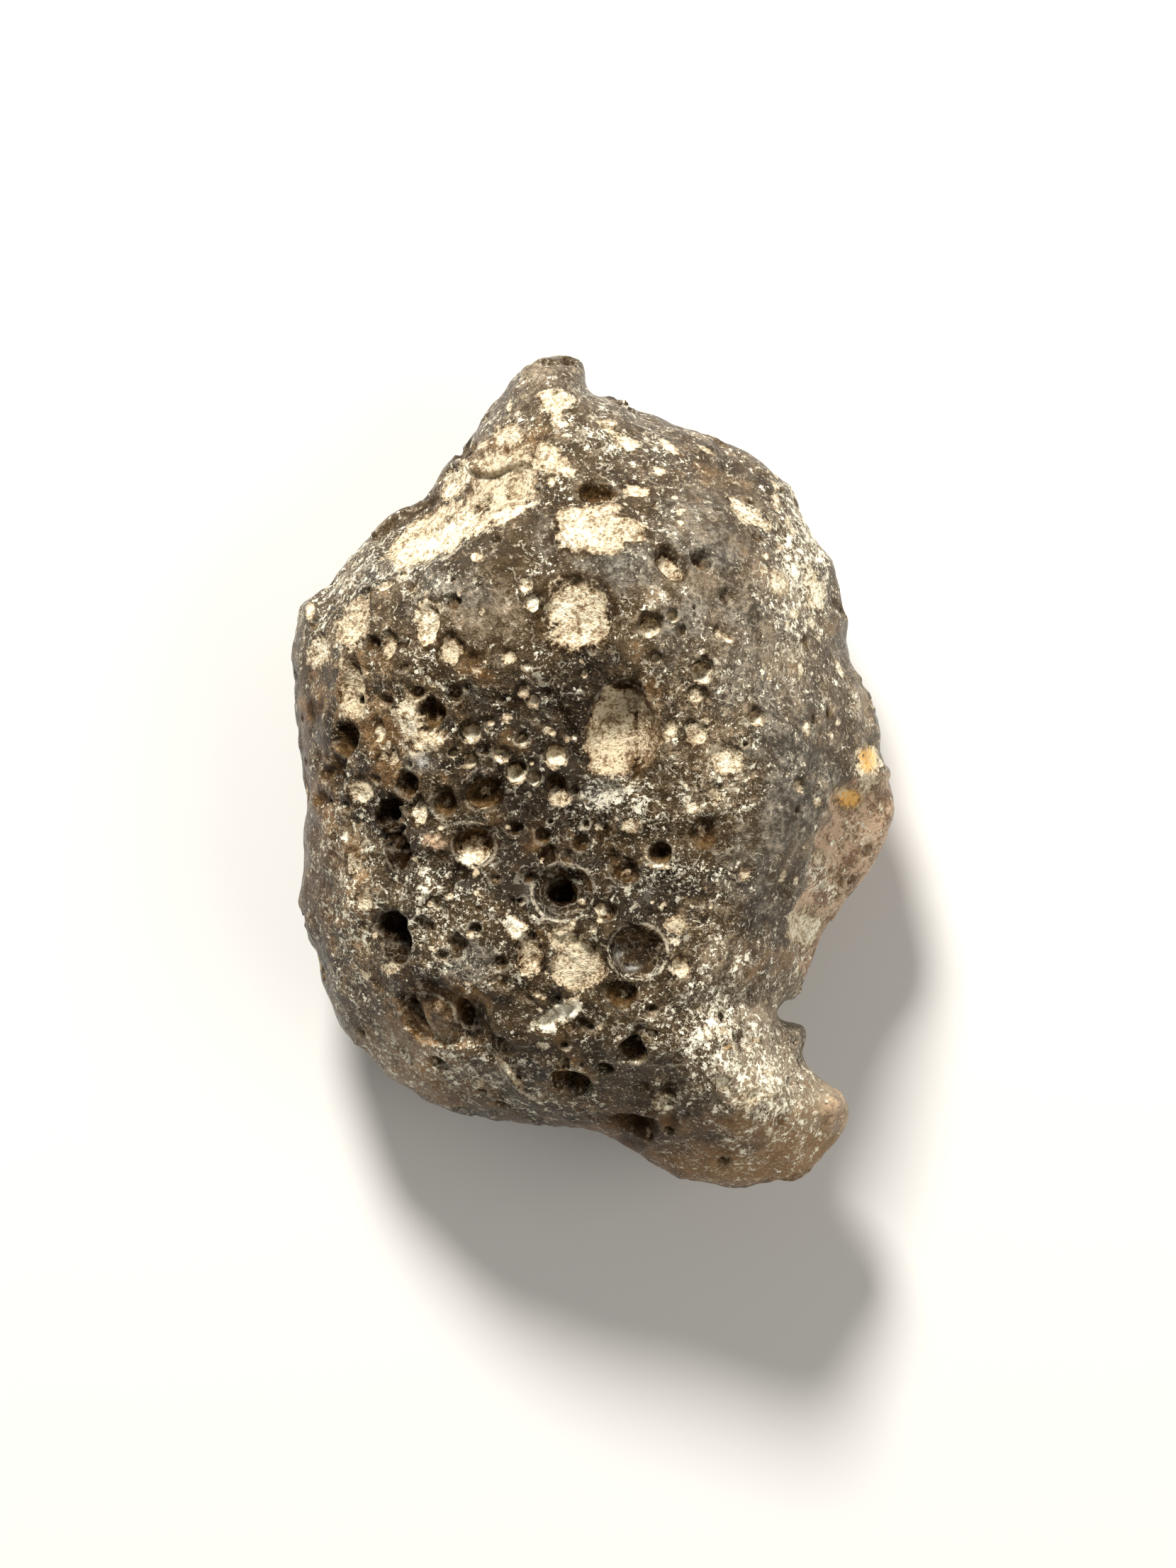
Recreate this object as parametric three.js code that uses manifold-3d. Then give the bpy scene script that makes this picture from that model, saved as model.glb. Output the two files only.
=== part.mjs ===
// A natural lump of impact glass: a chunky pebble with a broken outline, a knob at one end, a
// spur with a notch beside it at the other, and a skin pitted by burst gas bubbles.
// Millimetres. +X is the width, +Y the length, +Z up. It lies on z = 0, centred over the origin.

import * as THREE from 'three';
import { mergeVertices } from 'three/addons/utils/BufferGeometryUtils.js';
import Module from 'manifold-3d';

// Driving dimensions.
const widestHeight = 6.4;        // the widest outline lies this high above the ground
const crownRise = 9.2;           // the upper side rises this far above the widest outline
const bellyDrop = 7.2;           // the underside would reach this far below it, if not worn flat
const crownReach = 11.5;         // the upper flanks go on curving this far in from the outline
const bellyReach = 12.5;         // and the lower ones this far
const shoulderPower = 2.1;       // a larger power makes a flatter crown with steeper shoulders
const flankPower = 1.6;          // a larger power makes a blunter edge along the outline
const edgeDetail = 2.4;          // the small corners of the outline fade this far up and down
const smoothingSpan = 0.035;     // part of the outline that is averaged where they have faded
const smoothingTaps = 4;         // places averaged to each side
const smoothCorners = 72;        // corners of the averaged outline
const coreHalf = [2, 9, 1.5];    // the slim egg shape inside, from which the skin is spread out
const bubbleMouth = 0.35;        // how far a bubble's middle lies above the skin, in its depths
const skinSplits = 15;           // each of the 20 first faces is split this many times
const bubbleSides = 8;           // faces around a bubble
const bubbleRings = 6;           // faces from its top to its bottom
const scarSides = 22;            // faces around the ball whose skin is a break scar
const scarRings = 14;
const searchStep = 0.3;          // the skin is searched for outwards in steps this long,
const searchHalvings = 18;       // and then by halving the last step this often
const slopeStep = 0.5;           // the skin's slope is taken over this distance each way
const groundBlock = [60, 60, 10];

// The widest outline seen from above, counter-clockwise from the middle of the right side.
const outline = [
  [12.7, 0.4], [12.35, 1.1], [12.45, 1.8], [12.2, 2.9], [11.6, 4.1], [10.85, 5.4], [10.9, 6.65],
  [10.63, 7.2], [10.62, 8.3], [10.5, 9.3], [9.85, 10.15], [9.1, 11.6], [8.75, 12.75], [8.1, 13.2],
  [7.35, 13.6], [6.6, 13.8], [4.8, 14.6], [3.4, 15.3], [1.75, 15.85], [1.2, 16.2], [0, 16.35],
  // the knob
  [-0.5, 16.7], [-0.62, 17.5], [-0.95, 17.9], [-1.5, 18.03], [-2.3, 18], [-3, 17.8], [-3.5, 17.3],
  // the steep upper-left flank
  [-4.6, 16], [-5.7, 14.7], [-6.6, 13.6], [-7, 12.95], [-7.7, 11.9], [-8.6, 11.6], [-9.2, 11.1],
  [-10.5, 9.9], [-11.2, 9.2], [-11.6, 8.3], [-12.6, 7.8], [-13.1, 7], [-13.2, 5.9], [-13.2, 4.4],
  [-13.1, 3.2], [-12.9, 0.9], [-12.65, -1.3], [-12.95, -2.9], [-12.85, -3.6], [-12.9, -5.4],
  [-12.55, -7.1], [-12.15, -7.8], [-12, -9.2], [-11.45, -9.95], [-10.8, -11.3], [-9.65, -12.3],
  // the long lower edge
  [-8.4, -13.3], [-6.85, -14.2], [-4.85, -14.8], [-2.7, -15.3], [-0.6, -15.5], [1, -15.95],
  [2.5, -16.8], [3.9, -17.5], [5.7, -17.85], [7.5, -18.03],
  // the spur
  [8.9, -17.7], [9.4, -17.35], [10.15, -16.2], [10.75, -15.3], [11, -14.5], [10.7, -13.9],
  [9.8, -13.4], [9.35, -12.9], [8.97, -12.3], [9.1, -11.7], [8.95, -11.1], [8.6, -10.68],
  // the mouth of the notch
  [8.4, -10.2], [8.7, -9.6], [9, -9.1],
  [9.35, -8.05], [10.2, -6.7], [11.5, -5.25], [12.5, -3.8], [12.95, -2.5], [13.25, -1.4],
  [13, -0.4],
];

// Broad swells and hollows of the upper side: middle, reach across and along, turn, rise.
const crownForms = [
  { at: [5.6, 6.2], reach: [5.2, 4.8], turn: 0, rise: 0.8 },         // smooth right-hand dome
  { at: [-1.2, -1.6], reach: [4.6, 6], turn: 12, rise: -1.1 },       // shallow middle hollow
  { at: [-1.6, 16.7], reach: [1.6, 1.3], turn: 0, rise: 1.4 },       // knob
  { at: [0.6, 9.9], reach: [2.8, 1.9], turn: -10, rise: 0.6 },
  { at: [-5.6, 8.6], reach: [3.4, 1.3], turn: 25, rise: 0.9 },       // ridge beside the trough
  { at: [-7.6, 11], reach: [3.2, 1.2], turn: 32, rise: -1.1 },       // trough under it
  { at: [-11, 5], reach: [1.8, 3.6], turn: 0, rise: 0.7 },
  { at: [-9.2, -6], reach: [2.6, 3.8], turn: 0, rise: 0.6 },
  { at: [-5.5, -12], reach: [4, 1.8], turn: -18, rise: 0.8 },        // ridge along the lower edge
  { at: [3.9, -11], reach: [2.8, 2.4], turn: 0, rise: 0.8 },
  { at: [6.2, -9.9], reach: [2.6, 0.9], turn: 8, rise: -1.3 },       // furrow running to the notch
  { at: [8.3, -13.6], reach: [2.2, 2], turn: 0, rise: 1 },           // spur
  { at: [5, -16.4], reach: [3.4, 1.1], turn: -6, rise: -0.9 },
  { at: [11.7, -3], reach: [1.9, 4], turn: -10, rise: -2.6 },        // lower ledge on the right
  { at: [7.4, -4], reach: [2.2, 4], turn: 0, rise: 0.5 },
  { at: [11.6, 0.9], reach: [0.9, 1.6], turn: 10, rise: 0.7 },
];

// The same for the underside, where a rise goes downwards.
const bellyForms = [
  { at: [-5.5, 6.5], reach: [4.2, 5], turn: 20, rise: 0.5 },
  { at: [4.5, -6], reach: [5, 5.5], turn: -15, rise: 0.55 },
  { at: [5.8, 7.4], reach: [4, 4], turn: 0, rise: -0.7 },
  { at: [-6.2, -6.4], reach: [3.6, 4.6], turn: 0, rise: -0.5 },
  { at: [0.4, 14.6], reach: [4, 2.6], turn: 0, rise: -1.1 },
  { at: [8.2, -13.8], reach: [2.8, 2.6], turn: 0, rise: 0.6 },
  { at: [-11, 1], reach: [2, 4.6], turn: 0, rise: -0.9 },
];

// Burst bubbles open on the upper side: middle, half width, half length, turn, depth.
const crownBubbles = [
  [-6.6, 10.2, 2.2, 0.85, 25, 0.7], [-0.4, 10.5, 1.5, 1, 0, 0.5], [0.1, 12.1, 0.95, 0.6, 0, 0.9],
  [1.8, 12.2, 0.65, 0.5, 0, 0.4], [3.15, 9.3, 0.9, 0.45, -55, 0.7], [4.5, 9, 0.6, 0.55, 0, 0.5],
  [6.4, 11.2, 1.05, 0.5, -40, 0.5], [-3.5, 14, 0.9, 0.6, 40, 0.5],
  [-10.2, 6.8, 0.6, 1.4, -8, 0.7], [-12, 5.4, 0.75, 0.75, 0, 0.6], [-10.4, 3.7, 0.8, 1.45, 0, 0.6],
  [-7.1, 6.5, 0.6, 1.05, 0, 0.7], [-6.2, 5.3, 0.5, 0.8, 0, 0.6],
  [-7.4, 2.1, 1.3, 1.2, 0, 1.6], [-10.8, 1.5, 0.85, 0.75, 0, 0.7], [-0.9, 7.1, 1.75, 1.6, 0, 1],
  [2.15, 6.6, 0.6, 0.75, 0, 0.7], [4.2, 4.8, 0.55, 0.75, 0, 0.7], [1.3, 2.1, 1.55, 2.25, -4, 1.5],
  [-1.7, 0.9, 0.6, 0.5, 0, 0.6], [-1.65, -0.6, 0.6, 0.7, 0, 0.7], [-3.3, 0.2, 0.5, 0.55, 0, 0.6],
  [4.2, 1.8, 0.6, 0.6, 0, 0.5], [5.5, 0.6, 0.9, 0.65, 0, 0.5], [-10.1, -0.5, 0.65, 0.7, 0, 0.5],
  [-7.5, -1.2, 0.6, 1.05, 0, 0.9], [-8.8, -1.5, 0.65, 0.55, 0, 1], [-8.5, -3, 0.8, 0.85, 0, 1.3],
  [-4.7, -0.8, 0.9, 0.8, 0, 0.8], [-5.2, -3, 0.95, 1, 0, 1.2], [-8.6, -6.8, 0.65, 1, 0, 1.4],
  [-1.35, -5, 1.35, 1.3, 0, 1.4], [2.8, -3.4, 0.6, 0.6, 0, 0.8], [1.3, -4.1, 0.8, 0.7, 0, 0.6],
  [4.6, -2.5, 0.8, 0.9, 0, 0.6], [-2.8, -7.6, 0.8, 1.05, 0, 1], [-0.7, -8.2, 1.1, 1, 0, 0.6],
  [1.8, -7.5, 1.35, 1.3, 0, 1], [1.1, -9.4, 0.75, 0.7, 0, 0.7],
  [1.6, -11.7, 0.7, 0.7, 0, 0.8], [-1.1, -13.1, 0.95, 0.9, 0, 1.2], [1.7, -15.1, 1.1, 0.85, 0, 0.9],
  [-6.5, -10.2, 1.7, 1.5, 0, 1.1], [5.2, -10.3, 0.9, 0.5, 60, 0.7], [8.9, -6.7, 0.6, 0.5, 0, 0.4],
];

// Burst bubbles open on the underside, in the same order of values.
const bellyBubbles = [
  [7.2, 8.2, 1.5, 1.3, 20, 1.2], [-7.4, -8.2, 1.3, 1.7, 0, 1.2], [0.5, 13.4, 1.1, 0.9, 0, 0.9],
  [-10.2, 3.4, 1, 1.5, 0, 1], [9.6, -1.6, 1.2, 1.6, 0, 1], [6.6, -14.6, 1.2, 1, 0, 0.9],
  [-3.2, -12.3, 1, 1.2, 40, 0.9], [-7.6, 8.7, 1.1, 0.9, 0, 0.8], [9.4, 3.8, 0.9, 1.1, 0, 0.8],
  [-9.9, -3.2, 0.8, 0.9, 0, 0.8],
];

// Egg shapes taken out of the lump: a notch beside the spur, and scars where flakes broke off.
const scars = [
  { at: [9.1, -10.2, 6], half: [1.4, 0.8, 8], turn: 8 },             // notch
  { at: [12.4, 9.6, -2.4], half: [8.4, 9.4, 7.4], turn: 14 },        // underside, right
  { at: [-13, -10, -3], half: [8.6, 10, 8.2], turn: -28 },           // underside, left
];

const wasm = await Module();
wasm.setup();

const outlinePath = new THREE.Path(outline.map(([x, y]) => new THREE.Vector2(x, y))).closePath();
const cornerSides = sidesOf(outline.map(([x, y]) => new THREE.Vector2(x, y)));
const smoothSides = sidesOf(smoothOutline());

function sidesOf(points) {
  return points.map((start, i) => {
    const side = points[(i + 1) % points.length].clone().sub(start);
    const length = side.length();
    return { x: start.x, y: start.y, wayX: side.x / length, wayY: side.y / length, length };
  });
}

function smoothOutline() {
  const points = [];
  for (let i = 0; i < smoothCorners; i += 1) {
    const mean = new THREE.Vector2();
    for (let k = -smoothingTaps; k <= smoothingTaps; k += 1) {
      const turns = i / smoothCorners + smoothingSpan * k / smoothingTaps;
      mean.add(outlinePath.getPoint((turns + 1) % 1));
    }
    points.push(mean.divideScalar(2 * smoothingTaps + 1));
  }
  return points;
}

// How far a place lies in from an outline. It is zero on the outline and free of creases inside:
// each straight side counts by the fourth power of its nearness, summed along its length.
function depthInside(sides, x, y) {
  let nearness = 0;
  let crossings = 0;
  for (const side of sides) {
    const dx = x - side.x;
    const dy = y - side.y;
    const along = dx * side.wayX + dy * side.wayY;
    const off = Math.max(Math.abs(dx * side.wayY - dy * side.wayX), 0.01);
    nearness += sideNearness(side.length - along, off) - sideNearness(-along, off);
    const reachedY = side.wayY * side.length;
    if ((dy < 0) !== (dy - reachedY < 0) && dx < side.wayX / side.wayY * dy) crossings += 1;
  }
  return (crossings % 2 ? 1 : -1) * Math.pow(0.75 * nearness, -0.25);
}

function sideNearness(s, off) {
  const reach = s * s + off * off;
  return s * (2 * s * s + 3 * off * off) / (3 * off ** 4 * reach ** 1.5);
}

// The summed rise of a list of swells at a place.
function formRise(forms, x, y) {
  let rise = 0;
  for (const form of forms) {
    const turn = THREE.MathUtils.degToRad(form.turn);
    const dx = x - form.at[0];
    const dy = y - form.at[1];
    const across = (dx * Math.cos(turn) + dy * Math.sin(turn)) / form.reach[0];
    const along = (dy * Math.cos(turn) - dx * Math.sin(turn)) / form.reach[1];
    rise += form.rise * Math.exp(-across * across - along * along);
  }
  return rise;
}

// Below zero inside the lump, zero on its skin and above zero outside.
function skinLevel(x, y, z) {
  const rise = z - widestHeight;
  const detail = Math.exp(-rise * rise / (edgeDetail * edgeDetail));
  const depth = depthInside(cornerSides, x, y) * detail
    + depthInside(smoothSides, x, y) * (1 - detail);
  const curveReach = rise > 0 ? crownReach : bellyReach;
  const fullRise = rise > 0
    ? crownRise + formRise(crownForms, x, y)
    : bellyDrop + formRise(bellyForms, x, y);
  const outward = Math.max(1 - depth / curveReach, 0);
  return Math.pow(outward, shoulderPower) + Math.pow(Math.abs(rise) / fullRise, flankPower) - 1;
}

// Where a line from inside the lump meets its skin.
function skinPlace(start, way) {
  const place = start.clone();
  const outside = (far) => {
    place.copy(start).addScaledVector(way, far);
    return skinLevel(place.x, place.y, place.z) > 0;
  };
  let high = searchStep;
  while (!outside(high)) high += searchStep;
  let low = high - searchStep;
  for (let k = 0; k < searchHalvings; k += 1) {
    const middle = (low + high) / 2;
    if (outside(middle)) high = middle;
    else low = middle;
  }
  return place;
}

// Square to the skin at a place on it, outwards.
function skinOutward({ x, y, z }) {
  const step = slopeStep;
  return new THREE.Vector3(
    skinLevel(x + step, y, z) - skinLevel(x - step, y, z),
    skinLevel(x, y + step, z) - skinLevel(x, y - step, z),
    skinLevel(x, y, z + step) - skinLevel(x, y, z - step),
  ).normalize();
}

// One vertex at each corner, as a solid needs.
function weld(geometry) {
  geometry.deleteAttribute('normal');
  geometry.deleteAttribute('uv');
  return mergeVertices(geometry, 1e-5);
}

// The whole lump before its bubbles burst: a round ball of even triangles, spread to the skin.
function lumpGeometry() {
  const ball = new THREE.IcosahedronGeometry(1, skinSplits);
  const golden = (1 + Math.sqrt(5)) / 2;
  ball.rotateX(Math.atan2(1, golden));       // a corner points up, so a ring of corners is level
  const geometry = weld(ball);
  const places = geometry.attributes.position;
  for (let i = 0; i < places.count; i += 1) {
    const way = new THREE.Vector3().fromBufferAttribute(places, i);
    const start = way.clone().multiply(new THREE.Vector3(...coreHalf));
    start.z += widestHeight;
    const place = skinPlace(start, way);
    places.setXYZ(i, place.x, place.y, place.z);
  }
  return geometry;
}

function solidOf(geometry) {
  return new wasm.Manifold(new wasm.Mesh({
    numProp: 3,
    vertProperties: new Float32Array(geometry.attributes.position.array),
    triVerts: new Uint32Array(geometry.index.array),
  }));
}

// The gas bubble whose burst mouth is one pit: an egg shape set square to the skin.
function bubbleSolid([x, y, halfWidth, halfLength, turn, depth], side) {
  const geometry = weld(new THREE.SphereGeometry(1, bubbleSides, bubbleRings));
  geometry.rotateX(Math.PI / 2);
  const tall = depth / (1 - bubbleMouth);
  const widen = 1 / Math.sqrt(1 - bubbleMouth * bubbleMouth);
  geometry.scale(halfWidth * widen, halfLength * widen, tall);
  geometry.rotateZ(THREE.MathUtils.degToRad(turn));
  const up = new THREE.Vector3(0, 0, side);
  const middle = skinPlace(new THREE.Vector3(x, y, widestHeight), up);
  const outward = skinOutward(middle);
  geometry.applyQuaternion(new THREE.Quaternion().setFromUnitVectors(up, outward));
  middle.addScaledVector(outward, tall * bubbleMouth);
  geometry.translate(middle.x, middle.y, middle.z);
  return solidOf(geometry);
}

function scarSolid({ at, half, turn }) {
  const geometry = weld(new THREE.SphereGeometry(1, scarSides, scarRings));
  geometry.scale(...half);
  geometry.rotateZ(THREE.MathUtils.degToRad(turn));
  geometry.translate(...at);
  return solidOf(geometry);
}

// The worn flat under the lump: everything below the ground plane is taken off.
function groundSolid() {
  const block = new THREE.BoxGeometry(...groundBlock);
  return solidOf(weld(block.translate(0, 0, -groundBlock[2] / 2)));
}

function stoneGeometry() {
  let stone = solidOf(lumpGeometry());
  for (const scar of scars) {
    stone = stone.subtract(scarSolid(scar));
  }
  for (const bubble of crownBubbles) {
    stone = stone.subtract(bubbleSolid(bubble, 1));
  }
  for (const bubble of bellyBubbles) {
    stone = stone.subtract(bubbleSolid(bubble, -1));
  }
  stone = stone.subtract(groundSolid());
  const { vertProperties, triVerts } = stone.getMesh();
  const geometry = new THREE.BufferGeometry();
  geometry.setAttribute('position', new THREE.BufferAttribute(vertProperties, 3));
  geometry.setIndex(new THREE.BufferAttribute(triVerts, 1));
  return geometry;
}

const glass = new THREE.MeshStandardMaterial({ color: 0x67635b, roughness: 0.45, metalness: 0 });

const stone = new THREE.Mesh(stoneGeometry(), glass);
stone.name = 'impact_glass';

const group = new THREE.Group();
group.add(stone);

export default group;
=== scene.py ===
import math

import bpy
import numpy as np
from mathutils import Matrix, Vector


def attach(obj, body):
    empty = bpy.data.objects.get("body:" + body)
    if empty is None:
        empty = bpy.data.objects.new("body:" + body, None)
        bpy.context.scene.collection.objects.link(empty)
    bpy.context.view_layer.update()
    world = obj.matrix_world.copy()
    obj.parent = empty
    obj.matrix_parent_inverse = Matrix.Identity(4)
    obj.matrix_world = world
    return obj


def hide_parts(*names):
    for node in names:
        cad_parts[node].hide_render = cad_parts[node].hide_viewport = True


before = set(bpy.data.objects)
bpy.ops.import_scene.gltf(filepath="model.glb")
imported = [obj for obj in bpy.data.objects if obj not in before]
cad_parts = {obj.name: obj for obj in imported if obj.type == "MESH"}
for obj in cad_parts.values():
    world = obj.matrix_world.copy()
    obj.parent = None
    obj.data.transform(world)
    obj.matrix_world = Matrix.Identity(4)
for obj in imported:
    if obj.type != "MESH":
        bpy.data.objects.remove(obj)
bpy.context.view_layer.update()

mm = 0.001

# camera, light and floor

studio = {
    "cameraPlace": (-0.00031, -0.0004, 0.307),   # straight above, long edge of the stone upright
    "cameraLens": 158.8,
    "sensorHeight": 36.0,
    "floorSize": 6.0,
    "floorColour": (0.64, 0.63, 0.61, 1),
    "worldLight": (1.0, 0.985, 0.96, 1),
    "worldStrength": 0.23,
    "lights": {                                  # place, size, power, colour
        "window": ((-0.08, 0.30, 0.27), 0.10, 3.4, (1.0, 0.975, 0.93)),
        "fill": ((0.30, -0.10, 0.28), 0.40, 1.0, (1.0, 0.95, 0.89)),
    },
}


def addCamera():
    data = bpy.data.cameras.new("camera")
    data.sensor_fit = "VERTICAL"
    data.sensor_height = studio["sensorHeight"]
    data.lens = studio["cameraLens"]
    data.clip_start = 0.01
    data.clip_end = 10
    camera = bpy.data.objects.new("camera", data)
    camera.location = studio["cameraPlace"]
    bpy.context.collection.objects.link(camera)
    bpy.context.scene.camera = camera


def addLight(name, place, size, power, colour):
    data = bpy.data.lights.new(name, "AREA")
    data.shape = "DISK"
    data.size = size
    data.energy = power
    data.color = colour
    light = bpy.data.objects.new(name, data)
    light.location = place
    light.rotation_euler = (-Vector(place)).to_track_quat("-Z", "Y").to_euler()
    bpy.context.collection.objects.link(light)


def addFloor():
    half = studio["floorSize"] / 2
    mesh = bpy.data.meshes.new("floor")
    mesh.from_pydata([(-half, -half, 0), (half, -half, 0), (half, half, 0), (-half, half, 0)], [],
                     [(0, 1, 2, 3)])
    floor = bpy.data.objects.new("floor", mesh)
    bpy.context.collection.objects.link(floor)
    paper = bpy.data.materials.new("pale paper")
    paper.use_nodes = True
    shader = paper.node_tree.nodes["Principled BSDF"]
    shader.inputs["Base Color"].default_value = studio["floorColour"]
    shader.inputs["Roughness"].default_value = 0.9
    mesh.materials.append(paper)


def addWorld():
    world = bpy.data.worlds.new("studio")
    world.use_nodes = True
    back = world.node_tree.nodes["Background"]
    back.inputs["Color"].default_value = studio["worldLight"]
    back.inputs["Strength"].default_value = studio["worldStrength"]
    bpy.context.scene.world = world
    bpy.context.scene.view_settings.view_transform = "Standard"


addCamera()
for name, settings in studio["lights"].items():
    addLight(name, *settings)
addFloor()
addWorld()
print("studio ready")

# The lump of glass, in millimetres from here on. It is a field of distances on a fine grid, below zero
# inside and above zero outside. Steps, hollows and bubbles are worked into it, then it gets its skin.

lump = {
    "gridStep": 0.125,
    "low": (-14.2, -19.1, -0.56),
    "high": (14.2, 19.1, 16.8),
    "widestHeight": 6.4,      # the widest outline lies this high above the floor
    "crownRise": 9.2,         # rise of the upper side above it
    "bellyDrop": 7.2,         # drop of the underside below it, before its flat
    "crownReach": 11.5,       # how far in from the outline the upper flanks go on curving
    "bellyReach": 12.5,
    "shoulderPower": 2.1,
    "flankPower": 1.6,
    "edgeDetail": 2.4,        # the outline's small corners fade this far up and down
    "smoothingSpan": 0.035,   # part of the outline that is averaged where they have faded
    "smoothCorners": 72,
    "scarRounding": 0.25,
    "stepsFrom": 5.5,         # steps and small forms fade in above this height
    "stepsFade": 2.5,
    "restHeight": 0.04,       # thickness taken off below, for the flat that it lies on
}

# widest outline seen from above, counter-clockwise from the middle of the right side
outline = [
    (12.7, 0.4), (12.35, 1.1), (12.45, 1.8), (12.2, 2.9), (11.6, 4.1), (10.85, 5.4), (10.9, 6.65),
    (10.63, 7.2), (10.62, 8.3), (10.5, 9.3), (9.85, 10.15), (9.1, 11.6), (8.75, 12.75),
    (8.1, 13.2), (7.35, 13.6), (6.6, 13.8), (4.8, 14.6), (3.4, 15.3), (1.75, 15.85), (1.2, 16.2),
    (0, 16.35),
    # knob
    (-0.5, 16.7), (-0.62, 17.5), (-0.95, 17.9), (-1.5, 18.03), (-2.3, 18), (-3, 17.8),
    (-3.5, 17.3),
    # upper-left flank
    (-4.6, 16), (-5.7, 14.7), (-6.6, 13.6), (-7, 12.95), (-7.7, 11.9), (-8.6, 11.6),
    (-9.2, 11.1), (-10.5, 9.9), (-11.2, 9.2), (-11.6, 8.3), (-12.6, 7.8), (-13.1, 7),
    (-13.2, 5.9), (-13.2, 4.4), (-13.1, 3.2), (-12.9, 0.9), (-12.65, -1.3), (-12.95, -2.9),
    (-12.85, -3.6), (-12.9, -5.4), (-12.55, -7.1), (-12.15, -7.8), (-12, -9.2),
    (-11.45, -9.95), (-10.8, -11.3), (-9.65, -12.3),
    # lower edge
    (-8.4, -13.3), (-6.85, -14.2), (-4.85, -14.8), (-2.7, -15.3), (-0.6, -15.5), (1, -15.95),
    (2.5, -16.8), (3.9, -17.5), (5.7, -17.85), (7.5, -18.03),
    # spur
    (8.95, -17.8), (9.6, -17.3), (10.35, -16.3), (11, -15.4), (11.25, -14.5), (10.95, -13.9),
    (10.1, -13.3), (9.55, -12.8), (9.2, -12.3), (9.25, -11.7), (9.1, -11.15), (8.75, -10.8),
    # notch
    (8.25, -10.78), (7.95, -10.6), (7.88, -10.1), (8.2, -9.7), (8.6, -9.6), (9, -9.1),
    (9.35, -8.05), (10.2, -6.7), (11.5, -5.25), (12.5, -3.8), (12.95, -2.5), (13.25, -1.4),
    (13, -0.4),
]

# broad swells and hollows of the upper side: middle, reach across and along, rise, turn if any
crownForms = [
    (5.6, 6.2, 5.2, 4.8, 0.8),             # smooth right-hand dome
    (-1.2, -1.6, 4.6, 6, -1.1, 12),        # shallow middle hollow
    (-1.6, 16.7, 1.6, 1.3, 1.4),           # knob
    (0.6, 9.9, 2.8, 1.9, 0.6, -10),
    (-5.6, 8.6, 3.4, 1.3, 0.9, 25),        # ridge beside the trough
    (-7.6, 11, 3.2, 1.2, -1.1, 32),        # trough under it
    (-11, 5, 1.8, 3.6, 0.7),
    (-9.2, -6, 2.6, 3.8, 0.6),
    (-5.5, -12, 4, 1.8, 0.8, -18),         # ridge along the lower edge
    (3.9, -11, 2.8, 2.4, 0.8),
    (6.2, -9.9, 2.6, 0.9, -1.3, 8),        # furrow running to the notch
    (8.3, -13.6, 2.2, 2, 1),               # spur
    (5, -16.4, 3.4, 1.1, -0.9, -6),
    (11.7, -3, 1.9, 4, -2.6, -10),         # lower ledge on the right
    (7.4, -4, 2.2, 4, 0.5),
    (11.6, 0.9, 0.9, 1.6, 0.7, 10),
]

# the same for the underside, where a rise goes downwards
bellyForms = [
    (-5.5, 6.5, 4.2, 5, 0.5, 20), (4.5, -6, 5, 5.5, 0.55, -15), (5.8, 7.4, 4, 4, -0.7),
    (-6.2, -6.4, 3.6, 4.6, -0.5), (0.4, 14.6, 4, 2.6, -1.1), (8.2, -13.8, 2.8, 2.6, 0.6),
    (-11, 1, 2, 4.6, -0.9),
]

# egg shapes taken out: the notch, and scars where flakes broke off (middle, half sizes, turn)
scars = [
    ((9.15, -10.25, 6), (1.3, 0.62, 8), 8),
    ((12.4, 9.6, -2.4), (8.4, 9.4, 7.4), 14),
    ((-13, -10, -3), (8.6, 10, 8.2), -28),
]

# smoother places of the skin, written like the swells, with a share for the rise
smoothPlaces = [
    (6.6, 4, 2.8, 6, 1), (5.2, 9.6, 2, 2.6, 1), (-4.8, 7, 1.4, 1.8, 1), (0.8, 8.6, 1.4, 0.8, 1),
    (1.25, 2.1, 1.3, 1.9, 1), (11.6, -3, 1.4, 3, 0.6),
]

# places lower than what lies around them, with a crisp or a soft step: drop, softness, corners
steps = {
    "ledge": (0.5, 0.35, [(11, -0.1), (10.2, -0.8), (10.05, -1.3), (10.1, -2), (9.5, -2.7),
                          (9.25, -3.5), (9.2, -4), (9, -4.9), (8.5, -5.8), (8.3, -6.3),
                          (8.5, -7.2), (9.3, -9.5), (15, -9.5), (15, -0.6), (12.6, 0.1)]),
    "sideBand": (0.15, 0.3, [(11.2, 4.2), (11.5, 1.5), (11.6, 0.6), (15, 0.6), (15, 4.6)]),
    "trough": (0.4, 0.3, [(-9, 9.2), (-7.6, 9.3), (-5.9, 10.3), (-4.6, 10.9), (-3.3, 11.7),
                          (-3, 13), (-6, 13.4), (-8.5, 11.5), (-9.6, 10.2)]),
    "recess": (0.6, 0.5, [(-8.3, -9.2), (-7.2, -8.7), (-5.9, -9.2), (-4.9, -9.9), (-4.7, -10.8),
                          (-5.1, -11.5), (-6.3, -11.7), (-7.3, -11.5), (-8, -10.6)]),
    "middle": (0.45, 2.2, [(-9.5, 3.5), (-4, 3.5), (-0.5, 3.8), (0.2, 0.5), (0.8, -2.5),
                          (3.4, -2.6), (3.2, -4.6), (0.8, -6), (-2.6, -6), (-5, -4.4),
                          (-8, -8), (-9.8, -7), (-9.6, -3.5), (-9.8, -1)]),
}

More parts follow.
